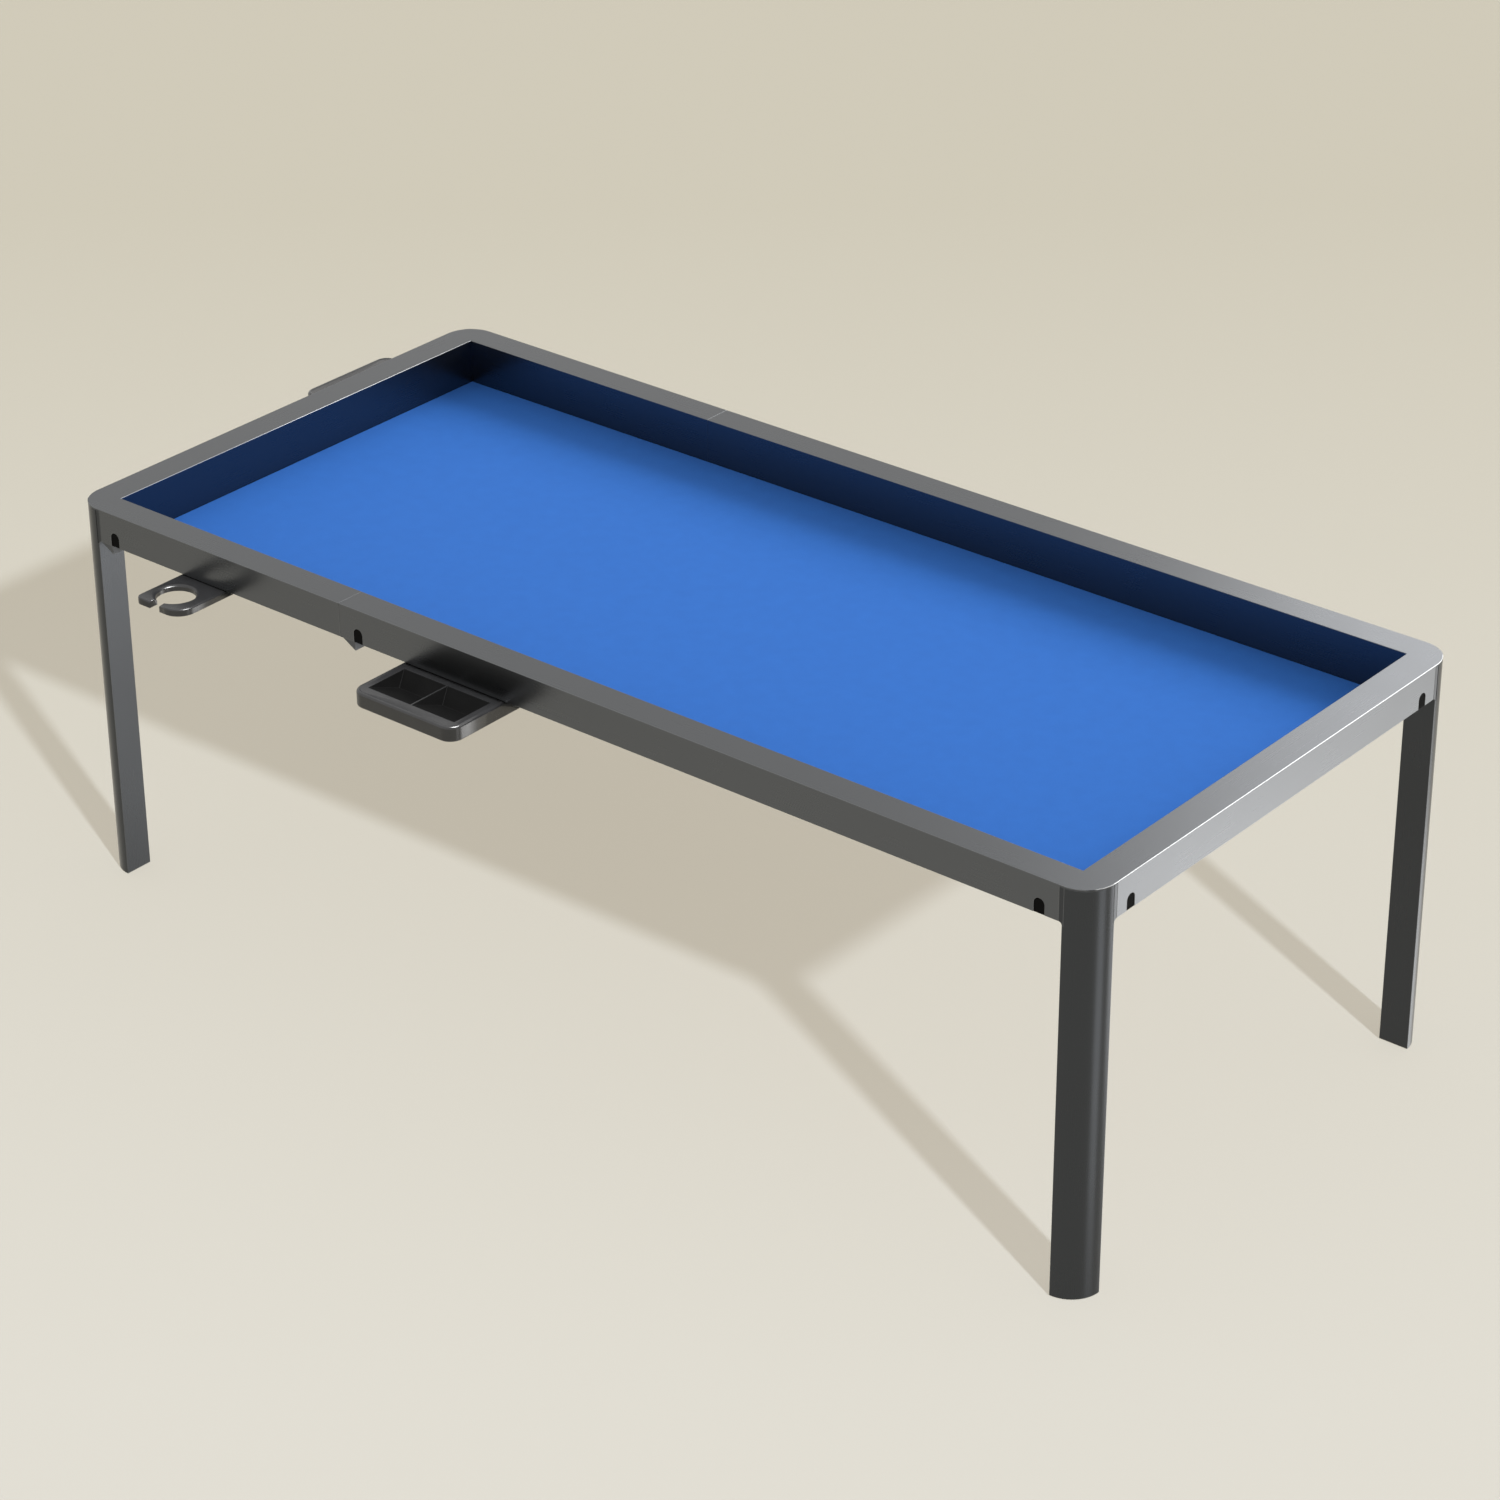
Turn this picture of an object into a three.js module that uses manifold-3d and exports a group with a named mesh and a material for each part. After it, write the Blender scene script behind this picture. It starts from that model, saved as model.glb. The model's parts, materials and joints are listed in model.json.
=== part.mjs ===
// A recessed gaming table: a ring of channel rails on four quarter-round legs, with a sunken
// play surface and three hook-on holders that slide along the rails.
// Millimetres, +Z up. The origin is on the floor under the middle of the table.
// X runs along the table and the front is at -Y.

import * as THREE from "three";
import { mergeVertices } from "three/addons/utils/BufferGeometryUtils.js";
import Module from "manifold-3d";

const wasm = await Module();
wasm.setup();

// ---------------------------------------------------------------- driving dimensions

const tableLength = 2192; // outside, along X
const tableDepth = 1016; // outside, along Y
const tableHeight = 740; // floor to the top of the rails

const wall = 2.5; // thickness of every rail and leg wall
const sideRailWidth = 56; // top face of the front and back rails
const endRailWidth = 59; // top face of the left and right rails
const railDrop = 63; // top of the rail down to the bottom of its outer face
const innerDrop = 99; // top of the rail down to the bottom of its inner face
const ledgeWidth = 14; // shelf on the inner face that carries the panels
const lipWidth = 8.5; // inward lip at the foot of the outer face
const shortRailLength = 646; // left end to the seam, where the long sides' two rails meet

const legRadius = 56; // quarter-round legs, as wide as the rails
const earWidth = 5.5; // leg wall that laps past the leg's flat face onto the rail line
const legLift = 1.5; // floor to the cut end of the leg tube

const notchWidth = 20; // spanner notch in the foot of the outer face
const notchHeight = 26.5;
const notchFromJoint = 42; // joint face to the middle of the notch
const blockDrop = 18; // how far a gusset hangs below the rail

const boltRadius = 4;
const boltHeadRadius = 6.5;
const boltHeadLength = 8;
const boltFromOuterFace = 28;
const boltBelowTop = 49;
const nutLength = 9;
const nutRadius = 8;

const panelThickness = 10;
const matThickness = 2.5;
const panelSeamX = 293; // the second joint between panels
const beamWidth = 40;
const beamDepth = 30;
const beamTaper = 24; // length of the slope at each end of a beam
const beamEndDepth = 12;
const beamTab = 12; // tab under the ledge at each end of a beam

const capHeight = 24;
const glideRadius = 16;
const glideThickness = 6;
const glideStemRadius = 5;
const glideStemLength = 30;
const glideTravel = 12;

const holderDrop = 64; // top of the rails down to the top of a holder
const hookThickness = 2.5;
const hookRise = 21; // how far the hook's fin stands above its toe
const screwRadius = 2;
const screwHeadRadius = 4;
const screwHeadLength = 2.5;

const cupHolder = {
  fromLeg: 207, // left leg's flat face to the plate
  width: 108,
  reach: 109, // beyond the rail's outer face
  thickness: 13,
  holeFromEdge: 47, // plate's left edge to the middle of the hole
  holeReach: 58,
  holeRadius: 35,
  rimRadius: 41,
  rimDepth: 5,
  slit: 24,
  smallCorner: 12,
  largeCorner: 34,
  hookWidth: 60,
};

const tray = {
  width: 227,
  reach: 126,
  thickness: 27,
  corner: 25,
  sideRim: 17.4,
  frontRim: 25,
  backRim: 15, // rail's outer face to the back of the scoops
  divider: 3,
  scoopDepth: 23,
  backSlope: 25, // run of the scoop's back wall
  sideSlope: 11, // run of the scoop's side walls
  hookWidth: 150,
};
const frontTrayFromSeam = 145;
const endTrayFromLeg = 44.5; // back left leg's flat face to the tray

// ---------------------------------------------------------------- clearances and curves

const gap = 0.3; // between faces that touch
const fit = 0.5; // between pieces that slide
const cut = 5; // how far a cutting shape runs past what it cuts
const quarterSteps = 16; // facets in a quarter of a leg or of a ring corner
const holeSteps = 48;
const smallSteps = 12;

// ---------------------------------------------------------------- worked out from those

const halfLength = tableLength / 2;
const halfDepth = tableDepth / 2;
const railTop = tableHeight;
const flangeUnder = railTop - wall;
const railFoot = railTop - railDrop;
const ledgeTop = railTop - innerDrop + wall;
const ledgeUnder = railTop - innerDrop;
const panelUnder = ledgeTop + gap;
const panelTop = panelUnder + panelThickness;
const holderTop = railTop - holderDrop;
const blockLength = notchFromJoint - notchWidth / 2;
const boltZ = railTop - boltBelowTop;
const seamX = -halfLength + shortRailLength;
const cupHolderLeft = -halfLength + legRadius + cupHolder.fromLeg;
const frontTrayMiddle = seamX + frontTrayFromSeam + tray.width / 2;
const endTrayMiddle = halfDepth - legRadius - endTrayFromLeg - tray.width / 2;

// The glide stands in the middle of the largest circle that fits inside the leg's tube.
const glideFromFaces = legRadius / (1 + Math.SQRT2);

// The four sides of the ring. Each is drawn as the front one, with its outer face at
// y = -out, and then turned about Z.
const longSide = {
  out: halfDepth,
  end: halfLength,
  width: sideRailWidth,
  nextWidth: endRailWidth,
};
const shortSide = {
  out: halfLength,
  end: halfDepth,
  width: endRailWidth,
  nextWidth: sideRailWidth,
};
const sides = {
  front: { ...longSide, turn: 0 },
  right: { ...shortSide, turn: 1 },
  back: { ...longSide, turn: 2 },
  left: { ...shortSide, turn: 3 },
};

// The four legs. Each is drawn as the front right one and then turned about Z.
const corners = {
  front_right: { x: 1, y: -1, turn: 0 },
  back_right: { x: 1, y: 1, turn: 1 },
  back_left: { x: -1, y: 1, turn: 2 },
  front_left: { x: -1, y: -1, turn: 3 },
};

// ---------------------------------------------------------------- finishes

const finishes = {
  graphite: { color: 0x5a5c60, roughness: 0.38, metalness: 0.9 },
  steel: { color: 0x8a8c90, roughness: 0.35, metalness: 1 },
  castAlloy: { color: 0x55575a, roughness: 0.5, metalness: 0.8 },
  moulding: { color: 0x2b2c2e, roughness: 0.42, metalness: 0 },
  nylon: { color: 0x1a1a1b, roughness: 0.6, metalness: 0 },
  plywood: { color: 0xb79a70, roughness: 0.7, metalness: 0 },
  playMat: { color: 0x3f7fd6, roughness: 0.95, metalness: 0 },
};

// ---------------------------------------------------------------- making and joining solids

// A closed geometry as a manifold solid.
function solidFrom(geometry) {
  const bare = geometry.clone();
  bare.deleteAttribute("normal");
  bare.deleteAttribute("uv");
  const merged = mergeVertices(bare, 1e-4);
  return new wasm.Manifold(
    new wasm.Mesh({
      numProp: 3,
      vertProperties: new Float32Array(merged.attributes.position.array),
      triVerts: new Uint32Array(merged.index.array),
    }),
  );
}

// A manifold solid as a geometry for drawing.
function geometryFrom(solid) {
  const mesh = solid.getMesh();
  const geometry = new THREE.BufferGeometry();
  geometry.setAttribute("position", new THREE.BufferAttribute(mesh.vertProperties, 3));
  geometry.setIndex(new THREE.BufferAttribute(mesh.triVerts, 1));
  geometry.computeVertexNormals();
  return geometry;
}

// The matrix that stands a flat outline's depth along an axis. The outline's two directions
// are then Y and Z, X and Z, or X and Y.
function depthAlong(axis, from, to) {
  const x = new THREE.Vector3(1, 0, 0);
  const y = new THREE.Vector3(0, 1, 0);
  const z = new THREE.Vector3(0, 0, 1);
  const matrix = new THREE.Matrix4();
  if (axis === "x") return matrix.makeBasis(y, z, x).setPosition(from, 0, 0);
  if (axis === "y") return matrix.makeBasis(x, z, y.clone().negate()).setPosition(0, to, 0);
  return matrix.setPosition(0, 0, from);
}

// A Shape from corner points.
function shapeFrom(corners) {
  return new THREE.Shape(corners.map(([a, b]) => new THREE.Vector2(a, b)));
}

// An outline, given as a Shape or as corner points, extruded along an axis.
function prism(outline, axis, from, to, steps = smallSteps) {
  const shape = outline instanceof THREE.Shape ? outline : shapeFrom(outline);
  const options = { depth: to - from, bevelEnabled: false, curveSegments: steps };
  const geometry = new THREE.ExtrudeGeometry(shape, options);
  return solidFrom(geometry.applyMatrix4(depthAlong(axis, from, to)));
}

// A box between two corners.
function block([x0, y0, z0], [x1, y1, z1]) {
  const geometry = new THREE.BoxGeometry(x1 - x0, y1 - y0, z1 - z0);
  geometry.translate((x0 + x1) / 2, (y0 + y1) / 2, (z0 + z1) / 2);
  return solidFrom(geometry);
}

// A solid of revolution about Z, from [radius, z] pairs that begin and end on the axis.
function turned(profile, steps = smallSteps) {
  const points = profile.map(([radius, z]) => new THREE.Vector2(radius, z));
  const geometry = new THREE.LatheGeometry(points, steps);
  return solidFrom(geometry.rotateX(Math.PI / 2));
}

// The same solid turned by quarter turns about Z.
function quarterTurned(solid, turns) {
  const geometry = geometryFrom(solid);
  geometry.rotateZ((turns * Math.PI) / 2);
  return solidFrom(geometry);
}

// The solid's mirror image in the plane x = 0, with its faces turned back outwards.
function mirroredX(solid) {
  const geometry = geometryFrom(solid).scale(-1, 1, 1);
  const corners = geometry.index.array;
  for (let i = 0; i < corners.length; i += 3) {
    [corners[i + 1], corners[i + 2]] = [corners[i + 2], corners[i + 1]];
  }
  return solidFrom(geometry);
}

// The same solid moved.
function moved(solid, x, y, z) {
  return solidFrom(geometryFrom(solid).translate(x, y, z));
}

const table = new THREE.Group();

// Adds one finished piece to the table as a named mesh.
function addPiece(name, solid, finish) {
  const material = new THREE.MeshStandardMaterial(finishes[finish]);
  const mesh = new THREE.Mesh(geometryFrom(solid), material);
  mesh.name = name;
  table.add(mesh);
}

// ---------------------------------------------------------------- outlines

// The outside of the ring, a rectangle with round corners, centred on the origin.
function ringOutline(side) {
  const x = side.end;
  const y = side.out;
  const r = legRadius;
  const shape = new THREE.Shape();
  shape.moveTo(-x + r, -y);
  shape.lineTo(x - r, -y);
  shape.absarc(x - r, -y + r, r, -Math.PI / 2, 0);
  shape.lineTo(x, y - r);
  shape.absarc(x - r, y - r, r, 0, Math.PI / 2);
  shape.lineTo(-x + r, y);
  shape.absarc(-x + r, y - r, r, Math.PI / 2, Math.PI);
  shape.lineTo(-x, -y + r);
  shape.absarc(-x + r, -y + r, r, Math.PI, 1.5 * Math.PI);
  return shape;
}

// A quarter disc in the corner +x, -y, with its flat faces on the axes or inside them.
function sectorOutline(radius, inset) {
  const start = -Math.acos(inset / radius);
  const end = -Math.asin(inset / radius);
  const shape = new THREE.Shape();
  shape.moveTo(inset, -inset);
  shape.lineTo(inset, radius * Math.sin(start));
  shape.absarc(0, 0, radius, start, end);
  shape.lineTo(inset, -inset);
  return shape;
}

// The rail's section: y from the outer face and z. It is open underneath.
function railSection(side) {
  const outer = -side.out;
  const inner = outer + side.width;
  return [
    [outer, railFoot],
    [outer, railTop],
    [inner, railTop],
    [inner, ledgeTop],
    [inner + ledgeWidth, ledgeTop],
    [inner + ledgeWidth, ledgeUnder],
    [inner - wall, ledgeUnder],
    [inner - wall, flangeUnder],
    [outer + wall, flangeUnder],
    [outer + wall, railFoot + wall],
    [outer + wall + lipWidth, railFoot + wall],
    [outer + wall + lipWidth, railFoot],
  ];
}

// The round-topped spanner notch, x and z.
function notchOutline(x) {
  const r = notchWidth / 2;
  const springing = railFoot + notchHeight - r;
  const shape = new THREE.Shape();
  shape.moveTo(x - r, railFoot - cut);
  shape.lineTo(x + r, railFoot - cut);
  shape.lineTo(x + r, springing);
  shape.absarc(x, springing, r, 0, Math.PI);
  shape.lineTo(x - r, railFoot - cut);
  return shape;
}

// ---------------------------------------------------------------- rails

// The half space past the mitre at the corner +x, -y, as a prism that cuts it away.
function mitreCutter(side) {
  const cornerX = side.end - side.nextWidth;
  const cornerY = -(side.out - side.width);
  const back = gap / Math.SQRT2;
  const reach = side.nextWidth + side.width + ledgeWidth + cut;
  const outline = [
    [cornerX - back + reach, cornerY - reach],
    [cornerX - back + 3 * reach, cornerY + reach],
    [cornerX - back + reach, cornerY + 3 * reach],
    [cornerX - back - reach, cornerY + reach],
  ];
  return prism(outline, "z", ledgeUnder - cut, railTop + cut);
}

// Room for the leg under the top flange, with the ear that laps onto the rail line.
function legCutter(side) {
  const x = side.end - legRadius - earWidth - gap;
  const outer = -side.out;
  return block(
    [x, outer - cut, railFoot - cut],
    [side.end + cut, outer + side.width - wall - gap, flangeUnder],
  );
}

// Takes the lip away from a joint face at x to the far side of its notch.
function lipCutter(side, from, to) {
  const outer = -side.out;
  return block(
    [from, outer + wall, railFoot - cut],
    [to, outer + wall + lipWidth + cut, railFoot + wall + gap],
  );
}

// One rail, drawn as a front rail from x0 to x1. A rail end is a corner, a seam with a
// notch beside it, or a plain seam.
function railSolid(side, [x0, startKind], [x1, endKind]) {
  let rail = prism(railSection(side), "x", x0, x1);
  const ring = prism(ringOutline(side), "z", ledgeUnder - cut, railTop + cut, quarterSteps);
  rail = rail.intersect(ring);
  const reach = notchFromJoint + notchWidth / 2;
  for (const [kind, joint, inward] of [
    [startKind, startKind === "corner" ? -side.end + legRadius : x0, 1],
    [endKind, endKind === "corner" ? side.end - legRadius : x1, -1],
  ]) {
    const cutTo = joint + inward * (kind === "plain" ? blockLength + fit : reach);
    rail = rail.subtract(lipCutter(side, Math.min(joint, cutTo) - cut, Math.max(joint, cutTo)));
    if (kind !== "plain") {
      const notch = notchOutline(joint + inward * notchFromJoint);
      rail = rail.subtract(prism(notch, "y", -side.out - cut, -side.out + wall + lipWidth + cut));
    }
    if (kind === "corner") {
      const cutters = mitreCutter(side).add(legCutter(side));
      rail = rail.subtract(inward > 0 ? mirroredX(cutters) : cutters);
    }
  }
  return quarterTurned(rail, side.turn);
}

// ---------------------------------------------------------------- blocks and bolts in the rails

// The block inside the end of a rail, from its joint face at x towards +x when inward is 1.
// It is as deep as the channel, or as the leg's flat face where that is narrower. A gusset
// adds a wedge that hangs below the rail.
function endBlock(side, joint, inward, gusset) {
  const near = joint + inward * gap;
  const far = joint + inward * blockLength;
  const outline = [
    [near, railFoot],
    [near, flangeUnder - gap],
    [far, flangeUnder - gap],
    [far, railFoot - (gusset ? blockDrop : 0)],
  ];
  const y0 = -side.out + wall + gap;
  const y1 = -side.out + Math.min(side.width - wall - gap, legRadius + gap);
  const hole = boltHole(side, Math.min(near, far) - cut, Math.max(near, far) + cut);
  const body = prism(outline, "y", y0, y1);
  return quarterTurned(body.subtract(hole), side.turn);
}

// A hole for a bolt along x, in a rail drawn as a front rail.
function boltHole(side, x0, x1) {
  return alongX(boltRadius + gap, x0, x1, -side.out + boltFromOuterFace, boltZ);
}

// A round bar along x.
function alongX(radius, x0, x1, y, z) {
  const geometry = new THREE.CylinderGeometry(radius, radius, x1 - x0, smallSteps);
  geometry.rotateZ(Math.PI / 2);
  geometry.translate((x0 + x1) / 2, y, z);
  return solidFrom(geometry);
}

// A hexagon-headed bolt whose head bears on the block's far face and whose tip is past the joint.
function jointBolt(side, joint, inward, past) {
  const headFrom = joint + inward * (blockLength + gap);
  const headTo = headFrom + inward * boltHeadLength;
  const tip = joint - inward * past;
  const y = -side.out + boltFromOuterFace;
  const head = new THREE.CylinderGeometry(boltHeadRadius, boltHeadRadius, boltHeadLength, 6);
  head.rotateZ(Math.PI / 2);
  head.translate((headFrom + headTo) / 2, y, boltZ);
  const overlap = inward * (boltHeadLength / 2);
  const shankTo = headFrom + overlap;
  const shank = alongX(boltRadius, Math.min(tip, shankTo), Math.max(tip, shankTo), y, boltZ);
  return quarterTurned(solidFrom(head).add(shank), side.turn);
}

// ---------------------------------------------------------------- legs

// The lap of the leg's outer wall past a flat face, with the fillet below it, drawn at the
// front face of the front right leg: x past the flat face is negative.
function legEar() {
  const shape = new THREE.Shape();
  shape.moveTo(0, flangeUnder - gap);
  shape.lineTo(-earWidth, flangeUnder - gap);
  shape.lineTo(-earWidth, railFoot);
  shape.absarc(-earWidth, railFoot - earWidth, earWidth, Math.PI / 2, 0, true);
  shape.lineTo(wall, railFoot - earWidth);
  shape.lineTo(wall, flangeUnder - gap);
  shape.lineTo(0, flangeUnder - gap);
  return prism(shape, "y", -legRadius, -legRadius + wall);
}

// The leg: a quarter-round tube with two ears and two welded nuts, drawn with the meeting
// line of its flat faces on the Z axis.
function legSolid() {
  const top = flangeUnder - gap;
  const outside = prism(sectorOutline(legRadius, 0), "z", legLift, top, quarterSteps);
  const inside = prism(
    sectorOutline(legRadius - wall, wall), "z", legLift - cut, top + cut, quarterSteps,
  );
  const ear = legEar();
  const otherEar = quarterTurned(mirroredX(ear), 1);
  const across = legRadius - boltFromOuterFace;
  const nut = alongX(nutRadius, wall / 2, wall + nutLength, -across, boltZ);
  const hole = alongX(boltRadius + gap, -cut, wall + nutLength + cut, -across, boltZ);
  const otherNut = quarterTurned(mirroredX(nut), 1);
  const otherHole = quarterTurned(mirroredX(hole), 1);
  return outside
    .subtract(inside)
    .add(ear)
    .add(otherEar)
    .add(nut)
    .add(otherNut)
    .subtract(hole)
    .subtract(otherHole);
}

// The plug in the foot of a leg, with the hole for the glide's stem.
function capSolid() {
  const outline = sectorOutline(legRadius - wall - gap, wall + gap);
  const under = legLift + glideThickness;
  const plug = prism(outline, "z", under, under + capHeight, quarterSteps);
  const bore = turned([
    [0, 0],
    [glideStemRadius + gap, 0],
    [glideStemRadius + gap, tableHeight / 2],
    [0, tableHeight / 2],
  ]);
  return plug.subtract(moved(bore, glideFromFaces, -glideFromFaces, 0));
}

// The levelling glide: a round sole on a threaded stem, screwed right in.
function glideSolid() {
  const top = legLift + glideThickness - gap;
  const chamfer = 1;
  const glide = turned(
    [
      [0, 0],
      [glideRadius - chamfer, 0],
      [glideRadius, chamfer],
      [glideRadius, top],
      [glideStemRadius, top],
      [glideStemRadius, top + glideStemLength],
      [0, top + glideStemLength],
    ],
    24,
  );
  return moved(glide, glideFromFaces, -glideFromFaces, 0);
}

// Puts a piece drawn at the front right leg under one of the four corners.
function atCorner(solid, corner) {
  const x = corner.x * (halfLength - legRadius);
  const y = corner.y * (halfDepth - legRadius);
  return moved(quarterTurned(solid, corner.turn), x, y, 0);
}

// ---------------------------------------------------------------- the play surface

// A rectangle of the play surface between two x positions.
function surfaceSheet(x0, x1, z0, z1) {
  const y = halfDepth - sideRailWidth - fit;
  return block([x0, -y, z0], [x1, y, z1]);
}

// A beam across the table under a panel joint, with sloped ends and a tab under each ledge.
function beamSolid(x) {
  const half = halfDepth - sideRailWidth - ledgeWidth - gap;
  const tabTop = ledgeUnder - gap;
  const tabUnder = tabTop - wall;
  const outline = [
    [-half, ledgeTop],
    [half, ledgeTop],
    [half, tabTop],
    [half + beamTab, tabTop],
    [half + beamTab, tabUnder],
    [half, ledgeTop - beamEndDepth],
    [half - beamTaper, ledgeTop - beamDepth],
    [-half + beamTaper, ledgeTop - beamDepth],
    [-half, ledgeTop - beamEndDepth],
    [-half - beamTab, tabUnder],
    [-half - beamTab, tabTop],
    [-half, tabTop],
  ];
  const bar = prism(outline, "x", x - beamWidth / 2, x + beamWidth / 2);
  const hollow = block(
    [x - beamWidth / 2 + wall, -half + wall, ledgeTop - beamDepth - cut],
    [x + beamWidth / 2 - wall, half - wall, ledgeTop - wall],
  );
  return bar.subtract(hollow);
}

// ---------------------------------------------------------------- hook-on holders

// The bent steel hook on a holder, over the rail's lip, drawn as on the front rail.
function hookSolid(side, middle, width) {
  const outer = -side.out;
  const seat = holderTop + gap;
  const finFront = outer + wall + fit;
  const toeUnder = railFoot + wall + fit;
  const riserFront = outer + wall + lipWidth + fit;
  const back = outer + side.width - wall - 2 * fit;
  const t = hookThickness;
  const outline = [
    [back, seat],
    [back, seat + t],
    [riserFront + t, seat + t],
    [riserFront + t, toeUnder + t],
    [finFront + t, toeUnder + t],
    [finFront + t, toeUnder + hookRise],
    [finFront, toeUnder + hookRise],
    [finFront, toeUnder],
    [riserFront, toeUnder],
    [riserFront, seat],
  ];
  let hook = prism(outline, "x", middle - width / 2, middle + width / 2);
  for (const x of screwPlaces(middle, width)) {
    hook = hook.subtract(screwHole(side, x));
  }
  return hook;
}

// The two screws of a hook stand a quarter of its width either side of its middle.
function screwPlaces(middle, width) {
  return [middle - width / 4, middle + width / 4];
}

// Screws stand between the hook's riser and the rail's inner wall.
function screwY(side) {
  return -side.out + (wall + lipWidth + side.width) / 2;
}

// A clearance hole for a screw, right through a holder and its hook.
function screwHole(side, x) {
  const hole = turned([
    [0, holderTop - tray.thickness - cut],
    [screwRadius + gap, holderTop - tray.thickness - cut],
    [screwRadius + gap, holderTop + hookThickness + cut],
    [0, holderTop + hookThickness + cut],
  ]);
  return moved(hole, x, screwY(side), 0);
}

// A pan-head screw from under a holder up through its hook.
function screwSolid(side, x, thickness) {
  const under = holderTop - thickness - gap;
  const screw = turned([
    [0, under - screwHeadLength],
    [screwHeadRadius, under - screwHeadLength],
    [screwHeadRadius, under],
    [screwRadius, under],
    [screwRadius, holderTop + hookThickness + 2 * gap],
    [0, holderTop + hookThickness + 2 * gap],
  ]);
  return moved(screw, x, screwY(side), 0);
}

// The cup holder: a plate with a round hole and a slit that lets a mug's handle through.
function cupHolderSolid(side) {
  const { width, reach, thickness, holeRadius, slit, smallCorner, largeCorner } = cupHolder;
  const left = cupHolderLeft;
  const right = left + width;
  const holeX = left + cupHolder.holeFromEdge;
  const front = -side.out - reach;
  const back = -side.out + side.width - wall - fit;
  const shape = new THREE.Shape();
  shape.moveTo(left, back);
  shape.lineTo(left, front + smallCorner);
  shape.absarc(left + smallCorner, front + smallCorner, smallCorner, Math.PI, 1.5 * Math.PI);
  shape.lineTo(right - largeCorner, front);
  shape.absarc(right - largeCorner, front + largeCorner, largeCorner, -Math.PI / 2, 0);
  shape.lineTo(right, back);
  const holeY = -side.out - cupHolder.holeReach;
  const through = [
    [0, holderTop - thickness - cut],
    [holeRadius, holderTop - thickness - cut],
    [holeRadius, holderTop - cupHolder.rimDepth],
    [cupHolder.rimRadius, holderTop],
    [cupHolder.rimRadius, holderTop + cut],
    [0, holderTop + cut],
  ];
  const plate = prism(shape, "z", holderTop - thickness, holderTop, quarterSteps);
  const hole = moved(turned(through, holeSteps), holeX, holeY, 0);
  const slot = block(
    [holeX - slit / 2, front - cut, holderTop - thickness - cut],
    [holeX + slit / 2, holeY, holderTop + cut],
  );
  return plate.subtract(hole).subtract(slot);
}

// One scoop of the tray as a solid: upright at no side, it is deepest near its back and
// ramps up to the front rim.
function scoopSolid(x0, x1, front, back) {
  const { scoopDepth, backSlope, sideSlope } = tray;
  const floorZ = holderTop - scoopDepth;
  const corner = [
    [x0, front, holderTop],
    [x1, front, holderTop],
    [x1, back, holderTop],
    [x0, back, holderTop],
    [x0 + sideSlope, back - backSlope, floorZ],
    [x1 - sideSlope, back - backSlope, floorZ],
  ];
  const faces = [0, 1, 2, 0, 2, 3, 0, 4, 5, 0, 5, 1, 3, 2, 5, 3, 5, 4, 0, 3, 4, 1, 5, 2];
  const geometry = new THREE.BufferGeometry();
  geometry.setAttribute("position", new THREE.Float32BufferAttribute(corner.flat(), 3));
  geometry.setIndex(faces);
  const lid = block([x0, front, holderTop], [x1, back, holderTop + cut]);
  return solidFrom(geometry).add(lid);
}

// The tray: a moulded block with two scoops for chips, tokens or dice.
function traySolid(side, middle) {
  const { width, reach, thickness, corner, sideRim, frontRim, backRim, divider } = tray;
  const x0 = middle - width / 2;
  const x1 = middle + width / 2;
  const front = -side.out - reach;
  const back = -side.out + side.width - wall - fit;
  const shape = new THREE.Shape();
  shape.moveTo(x0, back);
  shape.lineTo(x0, front + corner);
  shape.absarc(x0 + corner, front + corner, corner, Math.PI, 1.5 * Math.PI);
  shape.lineTo(x1 - corner, front);
  shape.absarc(x1 - corner, front + corner, corner, -Math.PI / 2, 0);
  shape.lineTo(x1, back);
  const body = prism(shape, "z", holderTop - thickness, holderTop, quarterSteps);
  const scoopFront = front + frontRim;
  const scoopBack = -side.out - backRim;
  const first = scoopSolid(x0 + sideRim, middle - divider / 2, scoopFront, scoopBack);
  const second = scoopSolid(middle + divider / 2, x1 - sideRim, scoopFront, scoopBack);
  return body.subtract(first).subtract(second);
}

// Adds a holder's moulding, its hook and its two screws.
function addHolder(name, side, moulding, middle, hookWidth, thickness) {
  const places = screwPlaces(middle, hookWidth);
  const drilled = places.reduce((solid, x) => solid.subtract(screwHole(side, x)), moulding);
  addPiece(name, quarterTurned(drilled, side.turn), "moulding");
  addPiece(name + "_hook", quarterTurned(hookSolid(side, middle, hookWidth), side.turn), "steel");
  places.forEach((x, i) => {
    const screw = quarterTurned(screwSolid(side, x, thickness), side.turn);
    addPiece(name + "_screw_" + (i + 1), screw, "steel");
  });
}

// ---------------------------------------------------------------- the assembly

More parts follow.
